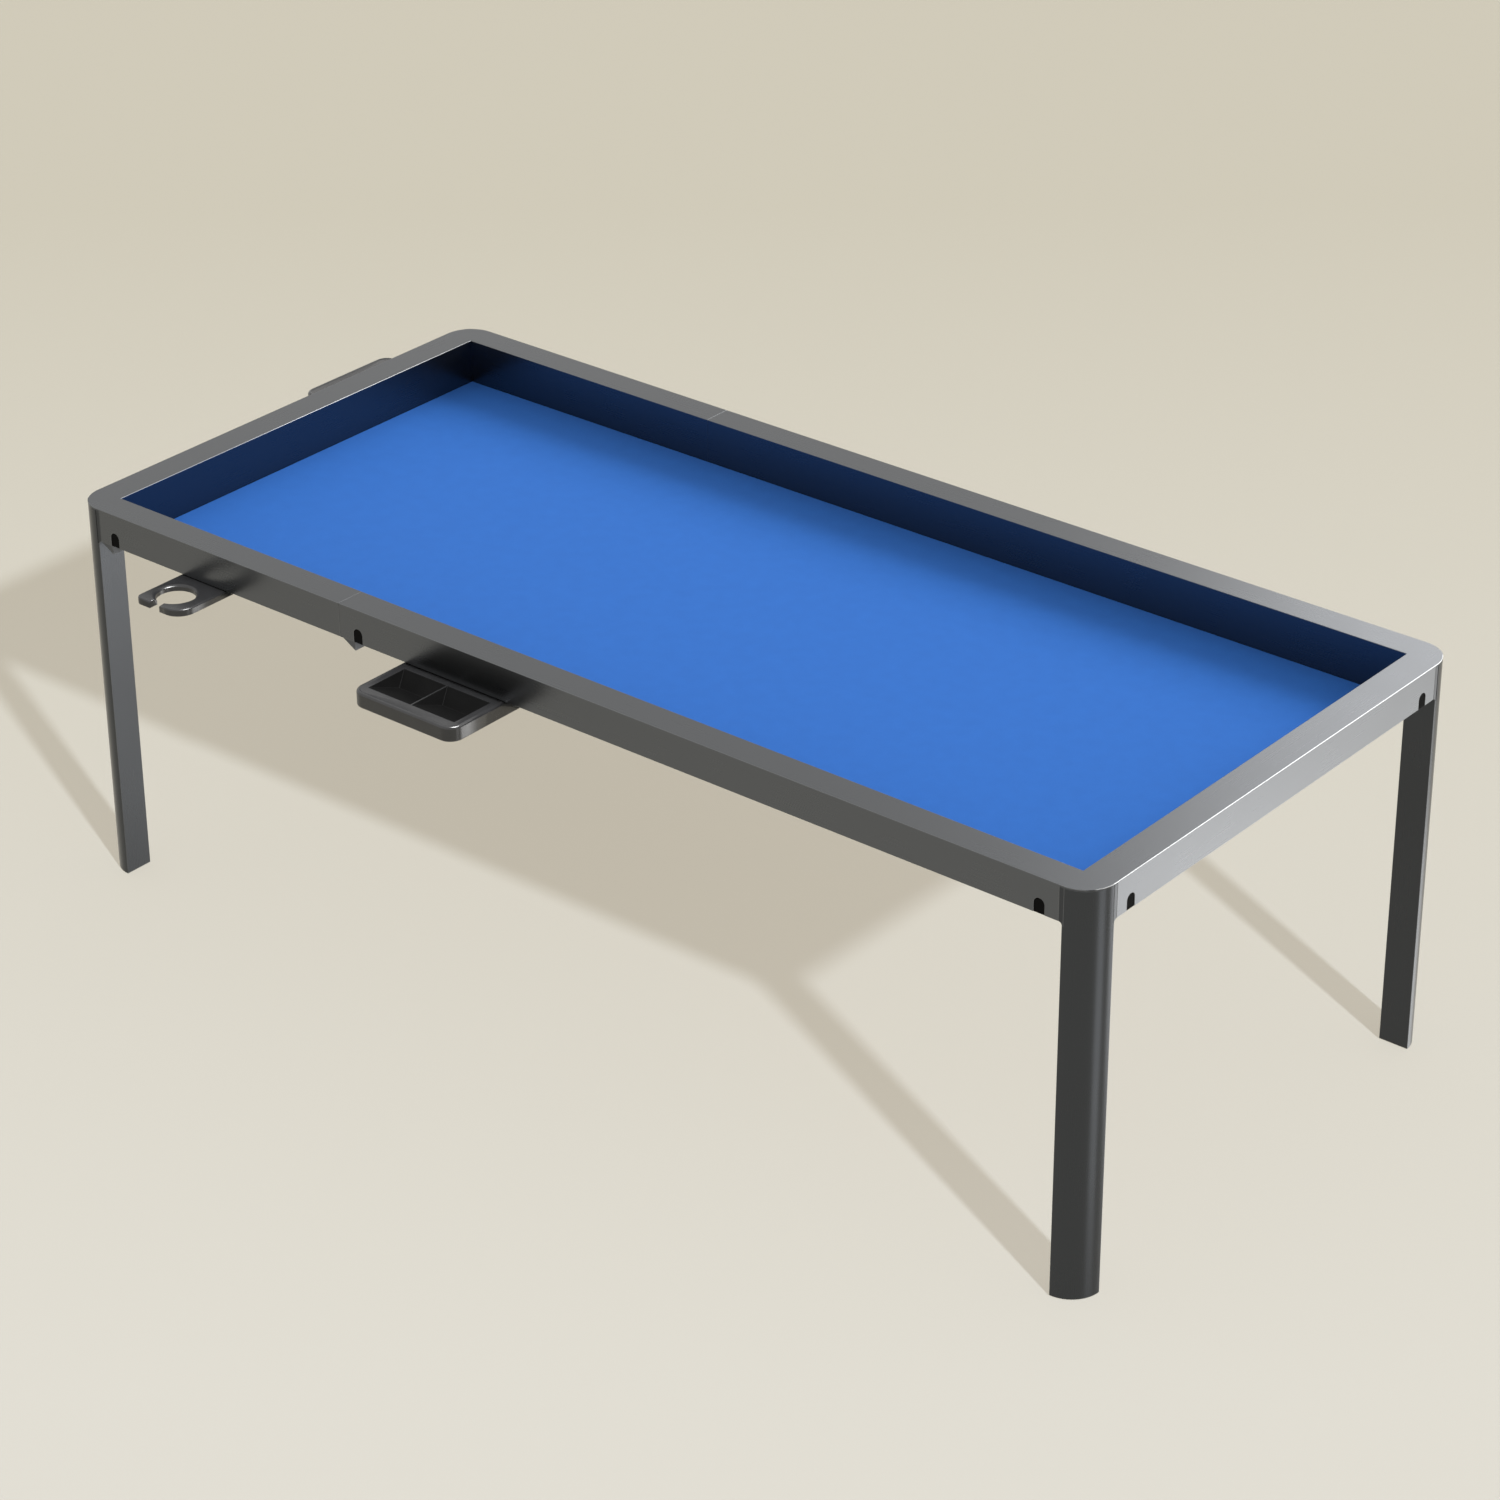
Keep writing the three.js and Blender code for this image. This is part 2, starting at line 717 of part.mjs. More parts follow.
// Adds the two rails of a long side. At the back, which is drawn turned half round, left and
// right change places.
function addLongSide(name) {
  const side = sides[name];
  const way = name === "front" ? 1 : -1;
  const seam = way * seamX;
  const shortEnd = [-way * side.end, "corner"];
  const longEnd = [way * side.end, "corner"];
  const ordered = (a, b) => (a[0] < b[0] ? [a, b] : [b, a]);
  const shortSpan = ordered(shortEnd, [seam - (way * gap) / 2, "plain"]);
  const longSpan = ordered(longEnd, [seam + (way * gap) / 2, "notched"]);
  addPiece(name + "_rail_short", railSolid(side, ...shortSpan), "graphite");
  addPiece(name + "_rail_long", railSolid(side, ...longSpan), "graphite");
  const leftFace = -way * (side.end - legRadius);
  const rightFace = way * (side.end - legRadius);
  addPiece(name + "_block_left", endBlock(side, leftFace, way, true), "castAlloy");
  addPiece(name + "_block_seam_nut", endBlock(side, seam, -way, false), "castAlloy");
  addPiece(name + "_block_seam", endBlock(side, seam, way, true), "castAlloy");
  addPiece(name + "_block_right", endBlock(side, rightFace, -way, false), "castAlloy");
  const intoLeg = wall + nutLength;
  addPiece(name + "_bolt_left", jointBolt(side, leftFace, way, intoLeg), "steel");
  addPiece(name + "_bolt_seam", jointBolt(side, seam, way, blockLength / 2), "steel");
  addPiece(name + "_bolt_right", jointBolt(side, rightFace, -way, intoLeg), "steel");
}

// Adds the rail of a short side, with its two blocks and bolts. The side's first end is at
// the front of the right rail and at the back of the left one.
function addShortSide(name) {
  const side = sides[name];
  const rail = railSolid(side, [-side.end, "corner"], [side.end, "corner"]);
  addPiece(name + "_rail", rail, "graphite");
  const [first, second] = name === "right" ? ["front", "back"] : ["back", "front"];
  const face = side.end - legRadius;
  for (const [place, joint, inward] of [
    [first, -face, 1],
    [second, face, -1],
  ]) {
    addPiece(name + "_block_" + place, endBlock(side, joint, inward, false), "castAlloy");
    addPiece(name + "_bolt_" + place, jointBolt(side, joint, inward, wall + nutLength), "steel");
  }
}

addLongSide("front");
addLongSide("back");
addShortSide("left");
addShortSide("right");

for (const [name, corner] of Object.entries(corners)) {
  addPiece("leg_" + name, atCorner(legSolid(), corner), "graphite");
  addPiece("leg_cap_" + name, atCorner(capSolid(), corner), "nylon");
  addPiece("glide_" + name, atCorner(glideSolid(), corner), "nylon");
}

const wellEnd = halfLength - endRailWidth - fit;
const panelEnds = [-wellEnd, seamX, panelSeamX, wellEnd];
["left", "middle", "right"].forEach((place, i) => {
  const from = panelEnds[i] + gap / 2;
  const to = panelEnds[i + 1] - gap / 2;
  addPiece("panel_" + place, surfaceSheet(from, to, panelUnder, panelTop), "plywood");
});
const matUnder = panelTop + gap;
const playMat = surfaceSheet(-wellEnd, wellEnd, matUnder, matUnder + matThickness);
addPiece("play_mat", playMat, "playMat");
addPiece("beam_left", beamSolid(seamX), "graphite");
addPiece("beam_right", beamSolid(panelSeamX), "graphite");

addHolder(
  "cup_holder",
  sides.front,
  cupHolderSolid(sides.front),
  cupHolderLeft + cupHolder.width / 2,
  cupHolder.hookWidth,
  cupHolder.thickness,
);
const frontTray = traySolid(sides.front, frontTrayMiddle);
addHolder("front_tray", sides.front, frontTray, frontTrayMiddle, tray.hookWidth, tray.thickness);
const endTray = traySolid(sides.left, -endTrayMiddle);
addHolder("end_tray", sides.left, endTray, -endTrayMiddle, tray.hookWidth, tray.thickness);

export default table;
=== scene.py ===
"""Looks of a recessed gaming table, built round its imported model.

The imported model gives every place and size. Each sub-assembly is a class that makes its own
pieces, dresses them in their finishes and lets them ride on their bodies. Metres, +Z up.
"""

import json
import logging
import math
from dataclasses import dataclass
from enum import Enum

import bmesh
import bpy
from mathutils import Euler, Matrix, Vector

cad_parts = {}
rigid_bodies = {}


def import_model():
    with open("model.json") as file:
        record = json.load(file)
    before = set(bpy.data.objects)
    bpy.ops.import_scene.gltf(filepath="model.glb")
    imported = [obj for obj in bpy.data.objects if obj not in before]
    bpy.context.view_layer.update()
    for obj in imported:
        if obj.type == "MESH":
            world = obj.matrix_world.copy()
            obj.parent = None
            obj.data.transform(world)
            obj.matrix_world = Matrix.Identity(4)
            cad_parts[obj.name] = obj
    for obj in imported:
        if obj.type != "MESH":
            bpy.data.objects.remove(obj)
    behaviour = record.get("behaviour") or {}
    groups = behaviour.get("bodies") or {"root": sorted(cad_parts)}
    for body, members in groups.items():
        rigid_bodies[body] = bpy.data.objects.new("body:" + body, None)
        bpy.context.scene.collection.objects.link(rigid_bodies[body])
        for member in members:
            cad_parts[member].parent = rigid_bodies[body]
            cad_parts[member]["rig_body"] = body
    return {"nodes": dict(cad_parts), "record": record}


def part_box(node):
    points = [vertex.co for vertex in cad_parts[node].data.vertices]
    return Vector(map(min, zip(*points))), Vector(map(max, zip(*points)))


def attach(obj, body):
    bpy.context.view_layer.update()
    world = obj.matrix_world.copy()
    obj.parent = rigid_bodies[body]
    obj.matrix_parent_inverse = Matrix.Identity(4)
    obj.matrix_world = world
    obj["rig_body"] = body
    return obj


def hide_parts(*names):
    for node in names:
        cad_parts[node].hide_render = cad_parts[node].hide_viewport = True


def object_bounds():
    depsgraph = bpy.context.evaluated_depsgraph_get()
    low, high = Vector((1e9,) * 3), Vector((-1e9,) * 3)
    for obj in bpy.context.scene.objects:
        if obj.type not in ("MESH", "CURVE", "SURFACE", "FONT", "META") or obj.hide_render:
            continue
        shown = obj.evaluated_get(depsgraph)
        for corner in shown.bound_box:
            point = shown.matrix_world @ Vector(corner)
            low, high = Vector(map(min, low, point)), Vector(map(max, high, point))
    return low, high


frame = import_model()
CAD_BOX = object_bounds()
MM = 0.001
SAME_PLACE = 0.01 * MM  # points and levels this near each other are one
SAME_FLAT = math.radians(1.0)  # faces that turn less than this from each other are one flat
LEVEL = 0.99  # least Z of a level face's normal
WAVE_BAND = 2 * math.pi / 20  # metres between the bands of a wave texture at a scale of one
EDGE_LAYER = "edge_wear_and_highlight"  # a face's wear and painted highlight: up to one where it rounds an edge, nought elsewhere
LOG = logging.getLogger("gaming_table")


class Along(Enum):
    """The direction that a section was extruded or a sheet was rolled in."""

    X = (1.0, 0.0, 0.0)
    Y = (0.0, 1.0, 0.0)
    Z = (0.0, 0.0, 1.0)


class Body(Enum):
    """The bodies that pieces ride on. Each glide is one more, named as its node."""

    TABLE = "table"
    CUP_HOLDER = "cup_holder"
    FRONT_TRAY = "front_tray"
    END_TRAY = "end_tray"


# ---------------------------------------------------------------- colours and node trees


def linear(colour: str) -> tuple[float, float, float, float]:
    """Turns an sRGB hex colour into a linear one.

    Args:
        colour: Six hex digits, with or without a leading #.

    Returns:
        Red, green, blue and an alpha of one.
    """
    digits = colour.lstrip("#")
    shares = [int(digits[i : i + 2], 16) / 255 for i in (0, 2, 4)]
    return (*[s / 12.92 if s <= 0.04045 else ((s + 0.055) / 1.055) ** 2.4 for s in shares], 1.0)


class Tree:
    """A node tree under construction."""

    def __init__(self, tree: bpy.types.NodeTree) -> None:
        """Empties the tree and keeps it."""
        self.tree = tree
        tree.nodes.clear()

    def add(self, kind: str, settings: dict | None = None, **inputs: object) -> bpy.types.Node:
        """Adds a node with its settings, its values and its links.

        Args:
            kind: The node's type, without the leading ShaderNode.
            settings: Properties of the node itself.
            inputs: Values or output sockets by input name, with _ for a space, or i and a
                number for an input by its place.

        Returns:
            The node.
        """
        node = self.tree.nodes.new("ShaderNode" + kind)
        for name, value in (settings or {}).items():
            setattr(node, name, value)
        for name, value in inputs.items():
            by_place = name[0] == "i" and name[1:].isdigit()
            socket = node.inputs[int(name[1:]) if by_place else name.replace("_", " ")]
            if isinstance(value, bpy.types.NodeSocket):
                self.tree.links.new(value, socket)
            else:
                socket.default_value = value
        return node


def size_to_scale(millimetres: float) -> float:
    """The noise scale at which one cell of the pattern is that many millimetres wide."""
    return 1.0 / (millimetres * MM)


def size_to_wave_scale(millimetres: float) -> float:
    """The wave scale at which the bands are that many millimetres apart."""
    return WAVE_BAND / (millimetres * MM)


def new_material(name: str) -> tuple[bpy.types.Material, Tree]:
    """Makes an empty node material.

    Args:
        name: The real material's name.

    Returns:
        The material, and its tree.
    """
    material = bpy.data.materials.new(name)
    material.use_nodes = True
    return material, Tree(material.node_tree)


# ---------------------------------------------------------------- finishes


@dataclass(frozen=True)
class SatinAluminium:
    """Extruded aluminium, bead blasted and anodised graphite.

    The blasting gives the eye a soft, dark, metallic sheen with blurred reflections. The die
    leaves very faint lines along the extrusion. The rounded edges are painted near white: a
    little edge wear, and mostly a painted highlight.
    """

    name: str = "graphite_anodised_aluminium"
    along: Along = Along.X
    colour: str = "#606265"
    # The rounded edges' near-white colour and its share: some edge wear, mostly a painted
    # highlight.
    worn_and_highlight: str = "#dcdee0"
    wear_and_highlight: float = 0.9
    roughness: float = 0.28
    unevenness: float = 0.012  # how far the roughness moves either way
    noise_spread: tuple[float, float] = (0.6, 1.4)  # of the two noises added up
    blast_grain_mm: float = 1.2  # real grain is near 0.1 mm; drawn this coarse so that it shows
    blast_relief_mm: float = 0.1
    blast_bump: float = 0.08
    die_line_mm: float = 1.6
    die_line_length_mm: float = 420.0
    blotch_mm: float = 90.0

    def material(self) -> bpy.types.Material:
        """Builds the finish."""
        made, tree = new_material(self.name + "_" + self.along.name.lower())
        place = tree.add("TexCoord").outputs["Object"]
        across = size_to_scale(self.die_line_mm)
        lengthways = size_to_scale(self.die_line_length_mm)
        scale = [lengthways if a else across for a in self.along.value]
        stretched = tree.add("Mapping", Vector=place, Scale=scale)
        lines = tree.add("TexNoise", Vector=stretched.outputs["Vector"], Scale=1.0, Detail=2.0)
        grain = tree.add(
            "TexNoise", Vector=place, Scale=size_to_scale(self.blast_grain_mm), Detail=3.0
        )
        blotch = tree.add(
            "TexNoise", Vector=place, Scale=size_to_scale(self.blotch_mm), Detail=1.0
        )
        mixed = tree.add(
            "Math", {"operation": "ADD"}, i0=lines.outputs["Fac"], i1=blotch.outputs["Fac"]
        )
        rough = tree.add(
            "MapRange",
            Value=mixed.outputs[0],
            From_Min=self.noise_spread[0],
            From_Max=self.noise_spread[1],
            To_Min=self.roughness - self.unevenness,
            To_Max=self.roughness + self.unevenness,
        )
        # Rounded edges mix towards the near-white colour: edge wear and a painted highlight.
        edge = tree.add("Attribute", {"attribute_name": EDGE_LAYER})
        wear_and_highlight = tree.add("Math", {"operation": "MULTIPLY"}, i0=edge.outputs["Fac"], i1=self.wear_and_highlight)
        colour = tree.add(
            "MixRGB", Fac=wear_and_highlight.outputs[0], Color1=linear(self.colour), Color2=linear(self.worn_and_highlight)
        )
        bump = tree.add(
            "Bump",
            Strength=self.blast_bump,
            Distance=self.blast_relief_mm * MM,
            Height=grain.outputs["Fac"],
        )
        shader = tree.add(
            "BsdfPrincipled",
            Base_Color=colour.outputs["Color"],
            Metallic=1.0,
            Roughness=rough.outputs["Result"],
            Normal=bump.outputs["Normal"],
        )
        tree.add("OutputMaterial", Surface=shader.outputs["BSDF"])
        return made


@dataclass(frozen=True)
class GrainedSolid:
    """An opaque finish with one grain: a moulding, a casting, a paint or an oxide.

    The grain stands in for spark-eroded tool texture, cast skin or orange peel, each at its
    own size. It moves the tone a little and breaks up the highlight.
    """

    name: str
    colour: str
    light: str
    roughness: float
    grain_mm: float
    relief_mm: float
    metallic: float = 0.0
    bump: float = 0.25
    ior: float = 1.5
    unevenness: float = 0.05  # how far the roughness moves either way
    grain_spread: tuple[float, float] = (0.3, 0.7)
    patch_grains: float = 40.0  # width of the broad patches of tone, in grains
    patch_spread: tuple[float, float] = (0.3, 1.0)
    edge_lift: float = 0.35  # how much of the lighter tone a worn edge gains

    def material(self) -> bpy.types.Material:
        """Builds the finish."""
        made, tree = new_material(self.name)
        place = tree.add("TexCoord").outputs["Object"]
        grain = tree.add("TexNoise", Vector=place, Scale=size_to_scale(self.grain_mm), Detail=4.0)
        broad = tree.add(
            "TexNoise",
            Vector=place,
            Scale=size_to_scale(self.patch_grains * self.grain_mm),
            Detail=2.0,
        )
        edge = tree.add("Attribute", {"attribute_name": EDGE_LAYER})
        tone = tree.add(
            "Math",
            {"operation": "MULTIPLY_ADD"},
            i0=edge.outputs["Fac"],
            i1=self.edge_lift,
            i2=broad.outputs["Fac"],
        )
        shade = tree.add(
            "MapRange",
            Value=tone.outputs[0],
            From_Min=self.patch_spread[0],
            From_Max=self.patch_spread[1],
        )
        colour = tree.add(
            "MixRGB",
            Fac=shade.outputs["Result"],
            Color1=linear(self.colour),
            Color2=linear(self.light),
        )
        rough = tree.add(
            "MapRange",
            Value=grain.outputs["Fac"],
            From_Min=self.grain_spread[0],
            From_Max=self.grain_spread[1],
            To_Min=self.roughness - self.unevenness,
            To_Max=self.roughness + self.unevenness,
        )
        bump = tree.add(
            "Bump",
            Strength=self.bump,
            Distance=self.relief_mm * MM,
            Height=grain.outputs["Fac"],
        )
        shader = tree.add(
            "BsdfPrincipled",
            Base_Color=colour.outputs["Color"],
            Metallic=self.metallic,
            Roughness=rough.outputs["Result"],
            IOR=self.ior,
            Normal=bump.outputs["Normal"],
        )
        tree.add("OutputMaterial", Surface=shader.outputs["BSDF"])
        return made


@dataclass(frozen=True)
class BirchPly:
    """Rotary-cut birch plywood, sealed.

    The peeled face gives broad, pale, wandering figure along the table, and each edge shows
    its plies as thin light and dark bands.
    """

    name: str = "birch_plywood"
    pale: str = "#cdb48c"
    figure: str = "#a98458"
    roughness: float = 0.55
    figure_mm: float = 14.0
    figure_length_mm: float = 260.0
    figure_through: float = 0.1  # its scale through the sheet, as a share of that across
    figure_wander: float = 0.7
    figure_spread: tuple[float, float] = (0.35, 0.7)
    figure_share: float = 0.8  # how much of the darker tone it reaches
    figure_relief_mm: float = 0.1
    figure_bump: float = 0.2
    ply_mm: float = 1.43  # seven plies in 10 mm
    ply_share: float = 0.35  # how much of the darker tone a ply adds to an edge

    def material(self) -> bpy.types.Material:
        """Builds the finish."""
        made, tree = new_material(self.name)
        place = tree.add("TexCoord").outputs["Object"]
        across, lengthways = size_to_scale(self.figure_mm), size_to_scale(self.figure_length_mm)
        scale = (lengthways, across, across * self.figure_through)
        stretched = tree.add("Mapping", Vector=place, Scale=scale)
        figure = tree.add(
            "TexNoise",
            Vector=stretched.outputs["Vector"],
            Scale=1.0,
            Detail=5.0,
            Distortion=self.figure_wander,
        )
        height = tree.add("SeparateXYZ", Vector=place).outputs["Z"]
        ply = self.ply_mm * MM
        plies = tree.add("Math", {"operation": "PINGPONG"}, i0=height, i1=ply)
        band = tree.add(
            "MapRange", Value=plies.outputs[0], From_Max=ply, To_Max=self.ply_share
        )
        facing = tree.add("SeparateXYZ", Vector=tree.add("NewGeometry").outputs["Normal"])
        flat = tree.add("Math", {"operation": "ABSOLUTE"}, i0=facing.outputs["Z"])
        side = tree.add("Math", {"operation": "SUBTRACT"}, i0=1.0, i1=flat.outputs[0])
        edge = tree.add(
            "Math", {"operation": "MULTIPLY"}, i0=side.outputs[0], i1=band.outputs["Result"]
        )
        spread = tree.add(
            "MapRange",
            Value=figure.outputs["Fac"],
            From_Min=self.figure_spread[0],
            From_Max=self.figure_spread[1],
            To_Max=self.figure_share,
        )
        total = tree.add(
            "Math", {"operation": "ADD"}, i0=spread.outputs["Result"], i1=edge.outputs[0]
        )
        colour = tree.add(
            "MixRGB", Fac=total.outputs[0], Color1=linear(self.pale), Color2=linear(self.figure)
        )
        bump = tree.add(
            "Bump",
            Strength=self.figure_bump,
            Distance=self.figure_relief_mm * MM,
            Height=figure.outputs["Fac"],
        )
        shader = tree.add(
            "BsdfPrincipled",
            Base_Color=colour.outputs["Color"],
            Roughness=self.roughness,
            Normal=bump.outputs["Normal"],
        )
        tree.add("OutputMaterial", Surface=shader.outputs["BSDF"])
        return made


@dataclass(frozen=True)
class KnitCloth:
    """Blue polyester jersey, knitted and laminated to foam rubber.

    The fine loops scatter light evenly, so the cloth looks flat and saturated, with a little
    fuzz that lightens it at a low angle. The wales run along the table.
    """

    name: str = "blue_polyester_knit"
    colour: str = "#2662b4"
    shade: str = "#245dac"
    sheen: str = "#8fb4f0"
    roughness: float = 0.9
    specular: float = 0.2
    fuzz: float = 0.15
    fuzz_roughness: float = 0.5
    wale_mm: float = 1.0058  # real wales are near 0.7 mm; coarser here, to show close up
    course_mm: float = 0.7544
    loop_wander: float = 0.6
    loop_relief_mm: float = 0.15
    loop_bump: float = 0.35
    loop_share: float = 0.5  # weight of the loops in the tone; the mottle's is one
    mottle_mm: float = 25.0
    tone_spread: tuple[float, float] = (0.3, 1.1)

    def material(self) -> bpy.types.Material:
        """Builds the finish."""
        made, tree = new_material(self.name)
        place = tree.add("TexCoord").outputs["Object"]
        wales = tree.add(
            "TexWave",
            {"bands_direction": "Y"},
            Vector=place,
            Scale=size_to_wave_scale(self.wale_mm),
            Distortion=self.loop_wander,
            Detail=1.0,
        )
        courses = tree.add(
            "TexWave",
            {"bands_direction": "X"},
            Vector=place,
            Scale=size_to_wave_scale(self.course_mm),
            Distortion=self.loop_wander,
            Detail=1.0,
        )
        loops = tree.add(
            "Math", {"operation": "MULTIPLY"}, i0=wales.outputs["Fac"], i1=courses.outputs["Fac"]
        )
        mottle = tree.add(
            "TexNoise", Vector=place, Scale=size_to_scale(self.mottle_mm), Detail=6.0
        )
        tone = tree.add(
            "Math",
            {"operation": "MULTIPLY_ADD"},
            i0=loops.outputs[0],
            i1=self.loop_share,
            i2=mottle.outputs["Fac"],
        )
        share = tree.add(
            "MapRange",
            Value=tone.outputs[0],
            From_Min=self.tone_spread[0],
            From_Max=self.tone_spread[1],
        )
        colour = tree.add(
            "MixRGB",
            Fac=share.outputs["Result"],
            Color1=linear(self.colour),
            Color2=linear(self.shade),
        )
        bump = tree.add(
            "Bump",
            Strength=self.loop_bump,
            Distance=self.loop_relief_mm * MM,
            Height=loops.outputs[0],
        )
        shader = tree.add(
            "BsdfPrincipled",
            Base_Color=colour.outputs["Color"],
            Roughness=self.roughness,
            Specular_IOR_Level=self.specular,
            Sheen_Weight=self.fuzz,
            Sheen_Roughness=self.fuzz_roughness,
            Sheen_Tint=linear(self.sheen),
            Normal=bump.outputs["Normal"],
        )
        tree.add("OutputMaterial", Surface=shader.outputs["BSDF"])
        return made


# ABS, injection moulded and lightly textured: near black, with a soft highlight on its rims.
MOULDING = GrainedSolid(
    "black_abs_moulding", "#161617", "#202021", 0.23, grain_mm=0.8, relief_mm=0.08, ior=1.57
)
# The same ABS, spark eroded, drawn near black in the scoops: painted shade for the dark
# hollows. Its IOR is set below the plastic's own, to keep them as dark as the real ones.
SCOOP_PAINTED_SHADE = GrainedSolid(
    "black_abs_painted_shade", "#050505", "#0a0a0a", 0.6, grain_mm=1.2, relief_mm=0.15, ior=1.15
)
# Powder coat on bent steel: dark grey, with a slight orange peel that breaks up highlights.
HOOK_PAINT = GrainedSolid(
    "black_powder_coat", "#232426", "#2e3032", 0.42, grain_mm=1.6, relief_mm=0.08
)
# Aluminium, die cast and coated: a mid grey metal, dulled by the pebbly skin of the casting.
CAST_ALLOY = GrainedSolid(
    "cast_aluminium_coated", "#57595c", "#6c6e71", 0.46, grain_mm=1.8, relief_mm=0.2, metallic=1.0
)
# Steel, blackened in a hot oxide bath: dark, but thin enough for the metal to glint through.
BLACK_OXIDE = GrainedSolid(
    "steel_black_oxide", "#4a4a4c", "#606063", 0.4, grain_mm=0.9, relief_mm=0.05, metallic=1.0
)
# Nylon, injection moulded: black, with a dull and slightly waxy sheen.
NYLON = GrainedSolid("black_nylon", "#141415", "#1c1c1d", 0.52, grain_mm=1.0, relief_mm=0.1)
# Carbon-filled rubber, moulded, drawn near black as painted shade for each notch's dark
# inside: hardly a highlight, so its IOR is set low too.
NOTCH_PAINTED_SHADE = GrainedSolid(
    "black_rubber_painted_shade", "#060606", "#0c0c0c", 0.75, grain_mm=1.0, relief_mm=0.1, ior=1.15
)


Finish = SatinAluminium | GrainedSolid | BirchPly | KnitCloth


class Wardrobe:
    """Makes each finish's material once and hands it out."""

    def __init__(self) -> None:
        """Starts empty."""
        self.made: dict[Finish, bpy.types.Material] = {}

    def get(self, finish: Finish) -> bpy.types.Material:
        """The material of a finish."""
        if finish not in self.made:
            self.made[finish] = finish.material()
        return self.made[finish]


WARDROBE = Wardrobe()


# ---------------------------------------------------------------- making and placing pieces


def add_piece(
    name: str,
    mesh: bmesh.types.BMesh,
    finish: Finish,
    body: str,
    replaced: tuple[str, ...] = (),
) -> bpy.types.Object:
    """Turns a finished bmesh into a piece of the table.

    Args:
        name: The piece's name.
        mesh: Its shape, in place. It is freed.
        finish: Its finish.
        body: The body that it rides on.
        replaced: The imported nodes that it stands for.

    Returns:
        The object.
    """
    for face in mesh.faces:
        face.smooth = True
    data = bpy.data.meshes.new(name)
    mesh.to_mesh(data)
    mesh.free()
    data.materials.append(WARDROBE.get(finish))
    piece = bpy.data.objects.new(name, data)
    bpy.context.scene.collection.objects.link(piece)
    flats = piece.modifiers.new("keep_flats_flat", "WEIGHTED_NORMAL")
    flats.weight = 100
    flats.keep_sharp = True
    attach(piece, body)
    if replaced:
        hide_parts(*replaced)
    LOG.info("%s: %d faces on %s", name, len(data.polygons), body)
    return piece


def round_edges(
    mesh: bmesh.types.BMesh, edges: list[bmesh.types.BMEdge], radius: float, segments: int = 3
) -> None:
    """Rounds edges and marks the new faces in the edge layer, which carries wear and painted
    highlight.

    Args:
        mesh: The shape.
        edges: The edges to round.
        radius: How far the rounding reaches, in metres.
        segments: Faces across the rounding.
    """
    layer = mesh.faces.layers.float.get(EDGE_LAYER) or mesh.faces.layers.float.new(EDGE_LAYER)
    made = bmesh.ops.bevel(
        mesh,
        geom=edges,
        offset=radius,
        offset_type="OFFSET",
        segments=segments,
        profile=0.5,
        affect="EDGES",
        clamp_overlap=False,
        material=-1,
    )
    for face in made["faces"]:
        face[layer] = 1.0


def rectangle(width: float, depth: float) -> bmesh.types.BMesh:
    """Makes one face that looks up, with its middle at the origin."""
    mesh = bmesh.new()
    bmesh.ops.create_grid(mesh, x_segments=1, y_segments=1, size=0.5)
    bmesh.ops.scale(mesh, vec=(width, depth, 1.0), verts=mesh.verts)
    return mesh


def round_corners(
    mesh: bmesh.types.BMesh, corners: list[bmesh.types.BMVert], radius: float, segments: int
) -> None:
    """Rounds corners of a flat outline.

    Args:
        mesh: The outline.
        corners: The corners to round.
        radius: How far the rounding reaches, in metres.
        segments: Edges along the rounding.
    """
    bmesh.ops.bevel(
        mesh,
        geom=corners,
        offset=radius,
        offset_type="OFFSET",
        segments=segments,
        profile=0.5,
        affect="VERTICES",
        clamp_overlap=False,
        material=-1,
    )


def sharp_edges(mesh: bmesh.types.BMesh, degrees: float = 30.0) -> list[bmesh.types.BMEdge]:
    """The edges where two faces meet at more than an angle."""
    limit = math.radians(degrees)
    return [e for e in mesh.edges if len(e.link_faces) == 2 and e.calc_face_angle() > limit]


def node_shape(node: str) -> bmesh.types.BMesh:
    """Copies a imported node's shape, with its flat faces made whole."""
    mesh = bmesh.new()
    mesh.from_mesh(frame["nodes"][node].data)
    bmesh.ops.remove_doubles(mesh, verts=mesh.verts, dist=SAME_PLACE)
    bmesh.ops.dissolve_limit(
        mesh, angle_limit=SAME_FLAT, verts=mesh.verts, edges=mesh.edges
    )
    mesh.faces.layers.float.new(EDGE_LAYER)
    return mesh


def close_downwards(mesh: bmesh.types.BMesh, depth: float) -> None:
    """Gives a flat outline in the XY plane a depth, and closes it.

    Args:
        mesh: The outline, one face that looks up.
        depth: How far down the new face is.
    """
    made = bmesh.ops.extrude_face_region(mesh, geom=list(mesh.faces), use_keep_orig=True)
    lower = [item for item in made["geom"] if isinstance(item, bmesh.types.BMVert)]
    bmesh.ops.translate(mesh, vec=(0, 0, -depth), verts=lower)
    bmesh.ops.recalc_face_normals(mesh, faces=mesh.faces)


def add_rounded_node(
    node: str, finish: Finish, body: str, radius: float, segments: int = 3
) -> bpy.types.Object:
    """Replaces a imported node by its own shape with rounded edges.

    Args:
        node: The node's name. The piece is named after it, with _shell at the end.
        finish: Its finish.
        body: The body that it rides on.
        radius: How far the rounding of each edge reaches, in metres.
        segments: Faces across the rounding.

    Returns:
        The object.
    """
    mesh = node_shape(node)
    round_edges(mesh, sharp_edges(mesh), radius, segments)
    return add_piece(node + "_shell", mesh, finish, body, (node,))


# ---------------------------------------------------------------- the ring of rails


